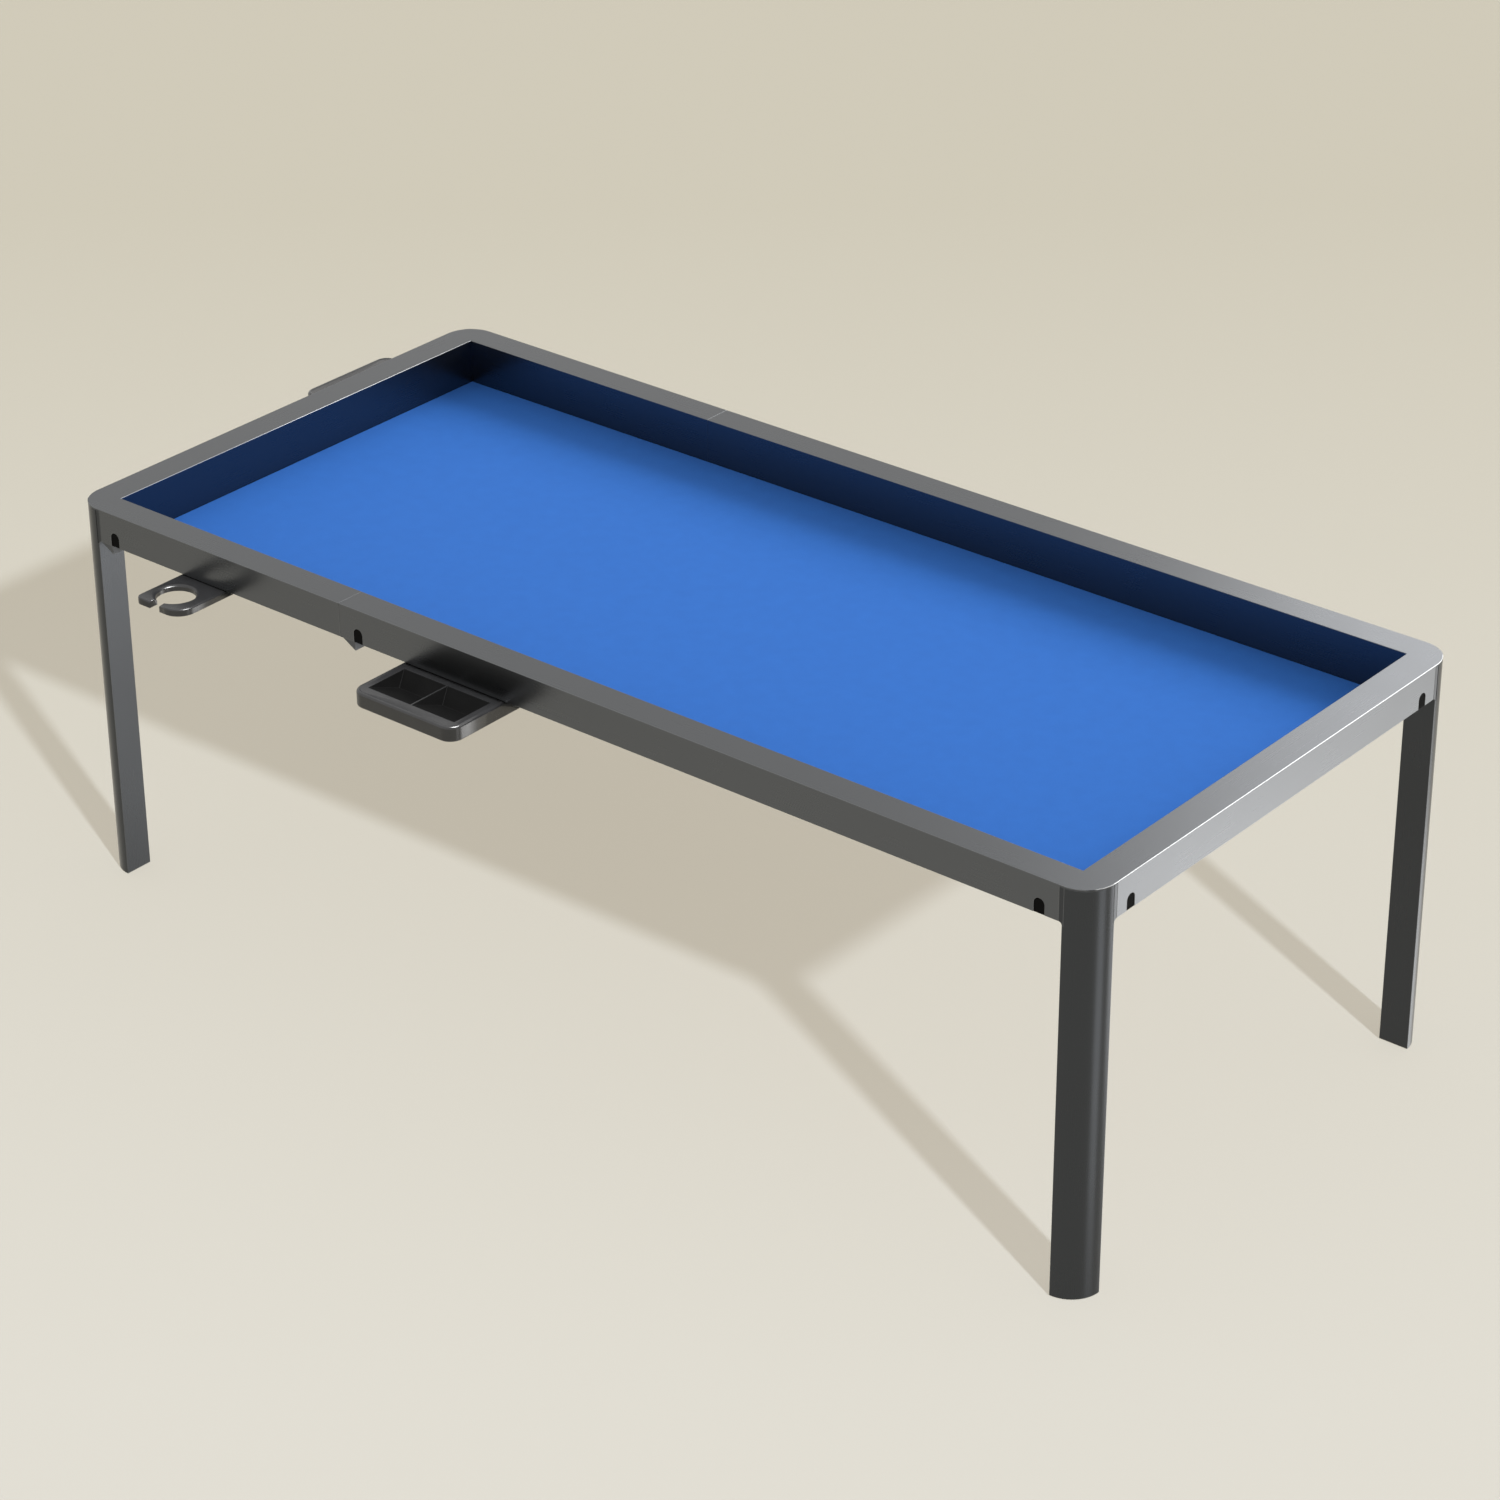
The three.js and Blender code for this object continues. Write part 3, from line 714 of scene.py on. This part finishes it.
@dataclass
class RailRing:
    """The six channel rails, with the cast blocks in their ends and the joint bolts."""

    edge: float = 0.8 * MM
    mitre_gap: float = 0.28 * MM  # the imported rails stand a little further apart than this
    mitre_facing: float = 0.6  # least X and least Y of a mitre's normal
    block_edge: float = 0.8 * MM
    bolt_edge: float = 0.5 * MM
    plug_half_width: float = 9.8 * MM
    plug_foot: float = 677.2 * MM  # height above the floor, like the crown's
    plug_crown: float = 703.3 * MM
    plug_arch: float = 0.98  # radius of its arch, as a share of the half width
    plug_thickness: float = 1.5 * MM
    plug_inset: float = 0.8 * MM  # rail's outer face to the plug's
    plug_edge: float = 0.3 * MM
    highlight_facing: tuple[float, float, float] = (1.0, 0.0, 1.0)  # the way that the arrises with a painted highlight face: up and towards +X
    highlight_within: float = 0.8  # cosine of the widest angle from it
    other_edges_share: float = 0.1  # wear and painted highlight on all the other arrises, as a share
    ends: tuple[str, ...] = ("left", "seam_nut", "seam", "right")

    def build(self) -> None:
        """Makes the rails, the blocks and the bolts."""
        for side in ("front", "back"):
            for rail in (side + "_rail_short", side + "_rail_long"):
                self.rail(rail, Along.X)
            for end in self.ends:
                self.block(f"{side}_block_{end}")
                if end != "seam_nut":
                    self.bolt(f"{side}_bolt_{end}")
        self.notch_plugs()
        for side in ("left", "right"):
            self.rail(side + "_rail", Along.Y)
            for end in ("front", "back"):
                self.block(f"{side}_block_{end}")
                self.bolt(f"{side}_bolt_{end}")

    def rail(self, node: str, along: Along) -> None:
        """Makes one rail, with broken arrises and corner mitres that close without a line.

        Args:
            node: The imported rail.
            along: The direction of its extrusion.
        """
        mesh = node_shape(node)
        mitres = [
            face
            for face in mesh.faces
            if min(abs(face.normal.x), abs(face.normal.y)) > self.mitre_facing
        ]
        for face in mitres:
            bmesh.ops.translate(mesh, vec=face.normal * self.mitre_gap / 2, verts=face.verts)
        welded = {edge for face in mitres for edge in face.edges}
        rounded = [edge for edge in sharp_edges(mesh) if edge not in welded]
        round_edges(mesh, rounded, self.edge)
        self.keep_edge_highlights(mesh, along)
        finish = SatinAluminium(along=along)
        add_piece(node + "_shell", mesh, finish, Body.TABLE.value, (node,))

    def keep_edge_highlights(self, mesh: bmesh.types.BMesh, along: Along) -> None:
        """Keeps the painted highlight, the near-white edge colour, whole only on end-rail arrises
        facing up and +X.

        Args:
            mesh: The rail, with its edges rounded.
            along: The direction of its extrusion.
        """
        layer = mesh.faces.layers.float[EDGE_LAYER]
        highlight_facing = Vector(self.highlight_facing).normalized()
        for face in mesh.faces:
            if along is Along.X or face.normal.dot(highlight_facing) < self.highlight_within:
                face[layer] *= self.other_edges_share

    def notch_plugs(self) -> None:
        """Makes the near-black snap-in plug that closes each spanner notch: painted shade for its
        inside.
        """
        for opening in frame["record"]["physics"]["openings"]:
            if "_notch_" not in opening["name"]:
                continue
            low, high = (Vector(corner) for corner in opening["box_m"])
            middle = (low + high) / 2
            outward = Vector((math.copysign(1, middle.x), 0, 0))
            if opening["name"].startswith(("front", "back")):
                outward = Vector((0, math.copysign(1, middle.y), 0))
            self.notch_plug(opening["name"], middle, outward)

    def notch_plug(self, notch: str, middle: Vector, outward: Vector) -> None:
        """Makes one plug: an arched plate just behind the rail's outer face.

        Args:
            notch: The notch's name.
            middle: The middle of the notch.
            outward: The way out of the rail.
        """
        half, foot, crown = self.plug_half_width, self.plug_foot, self.plug_crown
        mesh = rectangle(2 * half, crown - foot)
        upper = [vert for vert in mesh.verts if vert.co.y > 0]
        round_corners(mesh, upper, half * self.plug_arch, 10)
        close_downwards(mesh, self.plug_thickness)
        mesh.faces.layers.float.new(EDGE_LAYER)
        round_edges(mesh, sharp_edges(mesh, degrees=60.0), self.plug_edge, 2)
        across = Vector((0, 0, 1)).cross(outward)
        turn = Matrix((across, (0, 0, 1), outward)).transposed().to_4x4()
        face = CAD_BOX[1].x if outward.x else -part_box("front_rail_long")[0].y
        place = middle.copy()
        place -= outward * place.dot(outward)
        place += outward * (face - self.plug_inset)
        place.z = (crown + foot) / 2
        bmesh.ops.transform(mesh, matrix=Matrix.Translation(place) @ turn, verts=mesh.verts)
        # Near black: painted shade for the dark inside of the notch.
        add_piece(notch + "_plug", mesh, NOTCH_PAINTED_SHADE, Body.TABLE.value)

    def block(self, node: str) -> None:
        """Makes one cast block."""
        add_rounded_node(node, CAST_ALLOY, Body.TABLE.value, self.block_edge)

    def bolt(self, node: str) -> None:
        """Makes one joint bolt."""
        add_rounded_node(node, BLACK_OXIDE, Body.TABLE.value, self.bolt_edge, 2)


@dataclass
class Legs:
    """The four quarter-round legs, their foot plugs and their levelling glides."""

    edge: float = 0.6 * MM
    corners: tuple[str, ...] = ("front_right", "back_right", "back_left", "front_left")

    def build(self) -> None:
        """Makes each corner's leg, plug and glide."""
        for corner in self.corners:
            leg, cap, glide = "leg_" + corner, "leg_cap_" + corner, "glide_" + corner
            # The rails' anodised finish, drawn darker as painted shade, with a tenth of the
            # near-white edge colour: faint wear and painted highlight.
            finish = SatinAluminium(along=Along.Z, colour="#444649", wear_and_highlight=0.1)
            add_rounded_node(leg, finish, Body.TABLE.value, self.edge)
            add_rounded_node(cap, NYLON, Body.TABLE.value, self.edge)
            add_rounded_node(glide, NYLON, glide, self.edge)


# ---------------------------------------------------------------- the sunken play surface


@dataclass
class PlayWell:
    """The ply panels, the beams under their joints, and the mat on top."""

    panel_edge: float = 0.4 * MM
    beam_edge: float = 0.6 * MM
    mat_edge: float = 1.0 * MM
    mat_cells: tuple[int, int] = (100, 44)
    mat_wander: float = 0.25 * MM  # how far the cloth's face dips; it rises a third as far
    mat_ripple: tuple[float, float] = (7.1, 9.7)  # radians a metre, along and across
    mat_ripple_start: float = 1.3
    mat_swell: tuple[float, float] = (3.3, 5.2)

    def build(self) -> None:
        """Makes the panels, the beams and the mat."""
        for place in ("left", "middle", "right"):
            add_rounded_node(
                "panel_" + place, BirchPly(), Body.TABLE.value, self.panel_edge
            )
        finish = SatinAluminium(along=Along.Y)
        for place in ("left", "right"):
            add_rounded_node(
                "beam_" + place, finish, Body.TABLE.value, self.beam_edge
            )
        self.mat()

    def mat(self) -> None:
        """Makes the mat: a thin slab with soft edges and a face that isn't quite flat."""
        low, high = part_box("play_mat")
        size = high - low
        mesh = bmesh.new()
        bmesh.ops.create_cube(mesh, size=1.0)
        bmesh.ops.scale(mesh, vec=size, verts=mesh.verts)
        bmesh.ops.translate(mesh, vec=(low + high) / 2, verts=mesh.verts)
        mesh.faces.layers.float.new(EDGE_LAYER)
        round_edges(mesh, list(mesh.edges), self.mat_edge, 3)
        for axis, cells in enumerate(self.mat_cells):
            for i in range(1, cells):
                point = low.copy()
                point[axis] += size[axis] * i / cells
                normal = Vector([float(k == axis) for k in range(3)])
                everything = list(mesh.verts) + list(mesh.edges) + list(mesh.faces)
                bmesh.ops.bisect_plane(mesh, geom=everything, plane_co=point, plane_no=normal)
        for vert in mesh.verts:
            if vert.co.z > high.z - SAME_PLACE:
                vert.co.z += self.mat_wander * (self.mat_wave(vert.co.x, vert.co.y) - 1.0) / 3.0
        piece = add_piece(
            "knit_mat", mesh, KnitCloth(), Body.TABLE.value, ("play_mat",)
        )

    def mat_wave(self, x: float, y: float) -> float:
        """How high the mat's slow waves stand at a place, from -2 to 2."""
        along, across = self.mat_ripple
        ripple = math.sin(along * x + self.mat_ripple_start) * math.cos(across * y)
        along, across = self.mat_swell
        return ripple + math.sin(along * x - across * y)


# ---------------------------------------------------------------- the hook-on holders


@dataclass
class Holder:
    """What every holder has: its steel hook and two screws from below."""

    body: Body
    hook_edge: float = 0.5 * MM
    screw_edge: float = 0.4 * MM

    def fittings(self) -> None:
        """Makes the hook and the screws."""
        name = self.body.value
        add_rounded_node(name + "_hook", HOOK_PAINT, name, self.hook_edge)
        for screw in ("_screw_1", "_screw_2"):
            add_rounded_node(name + screw, BLACK_OXIDE, name, self.screw_edge, 2)


@dataclass
class CupHolder(Holder):
    """The plate with a round hole for a cup and a slit for its handle."""

    body: Body = Body.CUP_HOLDER
    rim_edge: float = 2.6 * MM
    foot_edge: float = 1.2 * MM
    hole_edge: float = 0.7 * MM
    hole_from_edges: tuple[float, float] = (47 * MM, 51 * MM)
    hole_reach: float = 42 * MM  # everything this near the middle belongs to the hole
    level_within: float = 0.05 * MM
    shortest: float = 0.3 * MM  # shorter edges stay sharp

    def build(self) -> None:
        """Makes the plate, rounded most along its top edge, and its fittings."""
        name = self.body.value
        mesh = node_shape(name)
        low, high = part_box(name)
        hole = Vector((low.x + self.hole_from_edges[0], low.y + self.hole_from_edges[1], 0))
        for at_hole, height, radius in (
            (True, None, self.hole_edge),
            (False, high.z, self.rim_edge),
            (False, low.z, self.foot_edge),
        ):
            chosen = []
            for edge in sharp_edges(mesh, degrees=40.0):
                middle = (edge.verts[0].co + edge.verts[1].co) / 2
                near = (Vector((middle.x, middle.y, 0)) - hole).length < self.hole_reach
                level = height is None or abs(middle.z - height) < self.level_within
                if near == at_hole and level and edge.calc_length() > self.shortest:
                    chosen.append(edge)
            round_edges(mesh, chosen, radius, 4)
        add_piece("cup_plate", mesh, MOULDING, name, (name,))
        self.fittings()


@dataclass
class ChipTray(Holder):
    """The moulded tray with two sloping scoops."""

    body: Body = Body.FRONT_TRAY
    corner: float = 25 * MM
    rim_edge: float = 4.5 * MM
    foot_edge: float = 2.0 * MM
    step_in: float = 3.0 * MM  # from the rounded edge to the foot of the step
    step_down: float = 1.0 * MM
    side_rim: float = 17.4 * MM
    front_rim: float = 25 * MM
    scoop_back: float = 111 * MM  # from the tray's front edge
    scoop_deepest: float = 86 * MM  # from the tray's front edge
    scoop_depth: float = 23 * MM
    side_slope: float = 11 * MM
    divider: float = 3 * MM
    scoop_edge: float = 0.8 * MM
    shortest: float = 1.0 * MM  # shorter edges of a scoop stay sharp
    weld: float = 0.1 * MM  # corners of a scoop's floor this near each other are one
    scoop_shade_slot: int = 1  # place of the scoops' near-black material, their painted shade, among the tray's

    def build(self) -> None:
        """Makes the tray and its fittings."""
        name = self.body.value
        low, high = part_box(name)
        turned = name == Body.END_TRAY.value
        size = high - low
        width, depth = (size.y, size.x) if turned else (size.x, size.y)
        mesh = self.slab(width, depth, size.z)
        self.cut_scoops(mesh, width)
        if turned:
            turn = Matrix.Rotation(-math.pi / 2, 4, "Z")
            place = Vector((low.x, (low.y + high.y) / 2, high.z))
        else:
            turn = Matrix.Identity(4)
            place = Vector(((low.x + high.x) / 2, low.y, high.z))
        bmesh.ops.transform(mesh, matrix=Matrix.Translation(place) @ turn, verts=mesh.verts)
        tray = add_piece(name + "_moulding", mesh, MOULDING, name, (name,))
        tray.data.materials.append(WARDROBE.get(SCOOP_PAINTED_SHADE))
        self.fittings()

    def slab(self, width: float, depth: float, height: float) -> bmesh.types.BMesh:
        """Makes the tray before its scoops: front edge on y = 0, top on z = 0.

        Args:
            width: Across the tray, along X.
            depth: From front to back, along Y.
            height: From the top down.

        Returns:
            The shape.
        """
        mesh = rectangle(width, depth)
        bmesh.ops.translate(mesh, vec=(0, depth / 2, 0), verts=mesh.verts)
        front = [vert for vert in mesh.verts if vert.co.y < depth / 2]
        round_corners(mesh, front, self.corner, 12)
        close_downwards(mesh, height)
        mesh.faces.layers.float.new(EDGE_LAYER)
        for level, radius, segments in ((0.0, self.rim_edge, 5), (-height, self.foot_edge, 3)):
            around = [
                edge
                for edge in mesh.edges
                if all(abs(vert.co.z - level) < SAME_PLACE for vert in edge.verts)
            ]
            round_edges(mesh, around, radius, segments)
        top = self.top_face(mesh)
        bmesh.ops.inset_region(mesh, faces=[top], thickness=self.step_in / 2, depth=0.0)
        top = self.top_face(mesh)
        bmesh.ops.inset_region(
            mesh, faces=[top], thickness=self.step_in / 2, depth=-self.step_down
        )
        return mesh

    @staticmethod
    def level_faces(mesh: bmesh.types.BMesh) -> list[bmesh.types.BMFace]:
        """The faces that look straight up."""
        return [face for face in mesh.faces if face.normal.z > LEVEL]

    def top_face(self, mesh: bmesh.types.BMesh) -> bmesh.types.BMFace:
        """The largest face that looks straight up."""
        return max(self.level_faces(mesh), key=lambda face: face.calc_area())

    def cut_scoops(self, mesh: bmesh.types.BMesh, width: float) -> None:
        """Sinks the two scoops into the top face.

        Args:
            mesh: The tray, as slab makes it.
            width: The tray's width.
        """
        outer = width / 2 - self.side_rim
        inner = self.divider / 2
        cuts = [((x, 0, 0), (1, 0, 0)) for x in (-outer, -inner, inner, outer)]
        cuts += [((0, y, 0), (0, 1, 0)) for y in (self.front_rim, self.scoop_back)]
        level = self.top_face(mesh).calc_center_median().z
        for point, normal in cuts:
            flats = [
                face
                for face in self.level_faces(mesh)
                if abs(face.calc_center_median().z - level) < SAME_PLACE
            ]
            parts = {part for face in flats for part in (*face.verts, *face.edges)}
            geometry = flats + list(parts)
            bmesh.ops.bisect_plane(mesh, geom=geometry, plane_co=point, plane_no=normal)
        middle_y = (self.front_rim + self.scoop_back) / 2
        for side in (-1, 1):
            middle = Vector((side * (outer + inner) / 2, middle_y, level))
            floor = min(
                self.level_faces(mesh),
                key=lambda face: (face.calc_center_bounds() - middle).length,
            )
            made = bmesh.ops.extrude_discrete_faces(mesh, faces=[floor])
            sunk = made["faces"][0]
            walls = {face for edge in sunk.edges for face in edge.link_faces} - {sunk}
            # The scoop's floor and walls take the near-black material: painted shade in the
            # hollow.
            for face in (sunk, *walls):
                face.material_index = self.scoop_shade_slot
            for vert in sunk.verts:
                away = 1 if vert.co.x < middle.x else -1
                vert.co.x += away * self.side_slope
                vert.co.y = self.scoop_deepest
                vert.co.z = -self.scoop_depth
            bmesh.ops.remove_doubles(mesh, verts=list(sunk.verts), dist=self.weld)
            edges = {edge for face in walls if face.is_valid for edge in face.edges}
            long_edges = [edge for edge in edges if edge.calc_length() > self.shortest]
            round_edges(mesh, long_edges, self.scoop_edge, 3)


# ---------------------------------------------------------------- studio


class Lit(Enum):
    """What a lamp lights."""

    FLOOR = "the floor alone"
    TABLE = "all but the floor"
    HOLDERS = "the three holders"
    FROM_BELOW = "all but the floor, through the floor, as a bounce card let into it would"


@dataclass(frozen=True)
class Softbox:
    """A flat studio lamp, with its places and its size in metres."""

    name: str
    centre: tuple[float, float, float]
    aim: tuple[float, float, float]
    size: tuple[float, float]
    watts: float
    lit: Lit = Lit.TABLE

    def build(self, groups: dict[Lit, bpy.types.Collection]) -> None:
        """Hangs the lamp and points it.

        Args:
            groups: The collection of what each kind of lamp lights.
        """
        light = bpy.data.lights.new(self.name, "AREA")
        light.shape = "RECTANGLE"
        light.size, light.size_y = self.size
        light.energy = self.watts
        lamp = bpy.data.objects.new(self.name, light)
        bpy.context.scene.collection.objects.link(lamp)
        lamp.location = self.centre
        direction = Vector(self.aim) - Vector(self.centre)
        lamp.rotation_euler = direction.to_track_quat("-Z", "Y").to_euler()
        lamp.visible_camera = False
        lamp.light_linking.receiver_collection = groups[self.lit]
        if self.lit is Lit.FROM_BELOW:
            lamp.light_linking.blocker_collection = groups[Lit.TABLE]


@dataclass
class Studio:
    """The pale floor, the soft lights and the camera."""

    floor_size: float = 60.0
    # The floor's colour fades from near to far, along the way the camera looks: painted shade.
    floor_near: str = "#5f5d58"
    floor_far_painted_shade: str = "#57544c"
    floor_fade: tuple[float, float] = (-1.3, 3.6)  # metres along the fade's direction
    fade_turn: float = 39.5  # degrees from +Y, counter-clockwise seen from above
    key_from: tuple[float, float, float] = (0.76, -0.35, 0.545)
    key_colour: str = "#e5f0ff"
    key_strength: float = 10.9
    key_spread: float = 2.2
    table_key_from: tuple[float, float, float] = (0.25, 0.85, 0.5)
    table_key_strength: float = 2.2
    table_key_spread: float = 28.0
    fill_colour: str = "#fffcf7"
    fill_strength: float = 13.6
    sky_colour: str = "#fffefb"
    sky_low: float = 1.15
    sky_high: float = 0.82
    sky_change: tuple[float, float] = (0.3, 0.42)  # sine of the height where low becomes high
    camera_place: tuple[float, float, float] = (4.1479, -4.9781, 3.9184)
    camera_turn: tuple[float, float, float] = (61.49, 0.33, 39.48)
    lens: float = 102.2
    sensor: float = 36.0
    view_distance: float = 200.0
    softboxes: tuple[Softbox, ...] = (
        Softbox("back_softbox", (1.3, 4.7, 3.6), (0.6, 0.2, 0.7), (7.2, 2.8), 165.0),
        Softbox(
            "holder_lamp", (0.9, -0.1, 4.3), (-0.2, -0.6, 0.7), (1.8, 1.8), 420.0, Lit.HOLDERS
        ),
        Softbox(
            "right_card", (3.1, 2.4, -0.9), (1.1, 0.0, 0.7), (2.2, 1.6), 24.0, Lit.FROM_BELOW
        ),
        Softbox(
            "leg_card", (3.6, -0.3, -1.0), (1.07, -0.48, 0.35), (1.0, 1.0), 5.0, Lit.FROM_BELOW
        ),
        Softbox(
            "left_leg_card",
            (1.76, 1.95, -1.29),
            (-1.0, -0.45, 0.35),
            (1.4, 1.4),
            9.0,
            Lit.FROM_BELOW,
        ),
    )

    def build(self) -> None:
        """Lays the floor, hangs the lights and sets up the camera."""
        floor = self.floor()
        bodies = {Body.CUP_HOLDER.value, Body.FRONT_TRAY.value, Body.END_TRAY.value}
        pieces = bpy.context.scene.objects
        held = [piece for piece in pieces if piece.get("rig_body") in bodies]
        groups = {
            Lit.FLOOR: self.light_group("floor_alone", [floor], "INCLUDE"),
            Lit.TABLE: self.light_group("all_but_floor", [floor], "EXCLUDE"),
            Lit.HOLDERS: self.light_group("holders", held, "INCLUDE"),
        }
        groups[Lit.FROM_BELOW] = groups[Lit.TABLE]
        self.sky()
        on_floor, on_table = groups[Lit.FLOOR], groups[Lit.TABLE]
        floor_key = self.sun(
            "floor_key", self.key_from, self.key_strength, self.key_spread, on_floor
        )
        floor_key.data.color = linear(self.key_colour)[:3]
        no_holders = self.light_group("all_but_holders", held, "EXCLUDE")
        floor_key.light_linking.blocker_collection = no_holders
        fill = self.sun("floor_fill", (0, 0, 1), self.fill_strength, 0.0, on_floor)
        fill.data.color = linear(self.fill_colour)[:3]
        fill.data.use_shadow = False
        strength, spread = self.table_key_strength, self.table_key_spread
        key = self.sun("table_key", self.table_key_from, strength, spread, on_table)
        key.visible_glossy = False  # it would blow out the rails when they mirror it
        for box in self.softboxes:
            box.build(groups)
        self.camera()
        bpy.context.scene.view_settings.view_transform = "Standard"

    @staticmethod
    def light_group(
        name: str, members: list[bpy.types.Object], state: str
    ) -> bpy.types.Collection:
        """Makes a collection that says what a lamp lights.

        Args:
            name: The collection's name.
            members: The objects in it.
            state: INCLUDE for a lamp that lights only them, EXCLUDE for one that lights all
                else.

        Returns:
            The collection.
        """
        group = bpy.data.collections.new(name)
        for member in members:
            group.objects.link(member)
        for link in group.collection_objects:
            link.light_linking.link_state = state
        return group

    def floor(self) -> bpy.types.Object:
        """Lays a plain matte floor, a little darker and warmer away from the camera: painted
        shade.
        """
        made, tree = new_material("floor_painted_falloff")
        place = tree.add("TexCoord").outputs["Object"]
        turned = tree.add(
            "Mapping", Vector=place, Rotation=(0, 0, math.radians(-self.fade_turn))
        )
        apart = tree.add("SeparateXYZ", Vector=turned.outputs["Vector"])
        fade = tree.add(
            "MapRange",
            Value=apart.outputs["Y"],
            From_Min=self.floor_fade[0],
            From_Max=self.floor_fade[1],
        )
        colour = tree.add(
            "MixRGB",
            Fac=fade.outputs["Result"],
            Color1=linear(self.floor_near),
            Color2=linear(self.floor_far_painted_shade),
        )
        shader = tree.add(
            "BsdfPrincipled",
            Base_Color=colour.outputs["Color"],
            Roughness=1.0,
            Specular_IOR_Level=0.0,
        )
        tree.add("OutputMaterial", Surface=shader.outputs["BSDF"])
        mesh = bmesh.new()
        bmesh.ops.create_grid(mesh, x_segments=1, y_segments=1, size=self.floor_size / 2)
        data = bpy.data.meshes.new("floor")
        mesh.to_mesh(data)
        mesh.free()
        data.materials.append(made)
        floor = bpy.data.objects.new("floor", data)
        bpy.context.scene.collection.objects.link(floor)
        return floor

    def sky(self) -> None:
        """Makes the even light from all round, brighter near the horizon than overhead."""
        world = bpy.data.worlds.new("studio")
        bpy.context.scene.world = world
        world.use_nodes = True
        tree = Tree(world.node_tree)
        place = tree.add("TexCoord").outputs["Generated"]
        height = tree.add("SeparateXYZ", Vector=place).outputs["Z"]
        strength = tree.add(
            "MapRange",
            Value=height,
            From_Min=self.sky_change[0],
            From_Max=self.sky_change[1],
            To_Min=self.sky_low,
            To_Max=self.sky_high,
        )
        light = tree.add(
            "Background", Color=linear(self.sky_colour), Strength=strength.outputs["Result"]
        )
        tree.add("OutputWorld", Surface=light.outputs["Background"])

    @staticmethod
    def sun(
        name: str,
        comes_from: tuple[float, float, float],
        strength: float,
        spread: float,
        lights: bpy.types.Collection,
    ) -> bpy.types.Object:
        """Hangs a lamp that is far off.

        Args:
            name: The lamp's name.
            comes_from: The direction to the lamp.
            strength: Its strength, in watts for each square metre.
            spread: Its width as seen from the table, in degrees.
            lights: What it lights.

        Returns:
            The lamp.
        """
        light = bpy.data.lights.new(name, "SUN")
        light.energy = strength
        light.angle = math.radians(spread)
        lamp = bpy.data.objects.new(name, light)
        bpy.context.scene.collection.objects.link(lamp)
        lamp.rotation_euler = Vector(comes_from).to_track_quat("Z", "Y").to_euler()
        lamp.light_linking.receiver_collection = lights
        return lamp

    def camera(self) -> None:
        """Sets up the camera: a long lens that looks down from the front right."""
        data = bpy.data.cameras.new("camera")
        data.lens = self.lens
        data.sensor_width = self.sensor
        data.clip_end = self.view_distance
        camera = bpy.data.objects.new("camera", data)
        bpy.context.scene.collection.objects.link(camera)
        camera.location = self.camera_place
        camera.rotation_euler = Euler([math.radians(a) for a in self.camera_turn])
        bpy.context.scene.camera = camera


def main() -> None:
    """Builds the table's parts in order, then the studio."""
    logging.basicConfig(level=logging.INFO, format="%(name)s: %(message)s")
    parts = (
        RailRing(),
        Legs(),
        PlayWell(),
        CupHolder(),
        ChipTray(body=Body.FRONT_TRAY),
        ChipTray(body=Body.END_TRAY),
    )
    for part in parts:
        part.build()
        LOG.info("%s is built", type(part).__name__)
    Studio().build()


if __name__ == "__main__":
    main()
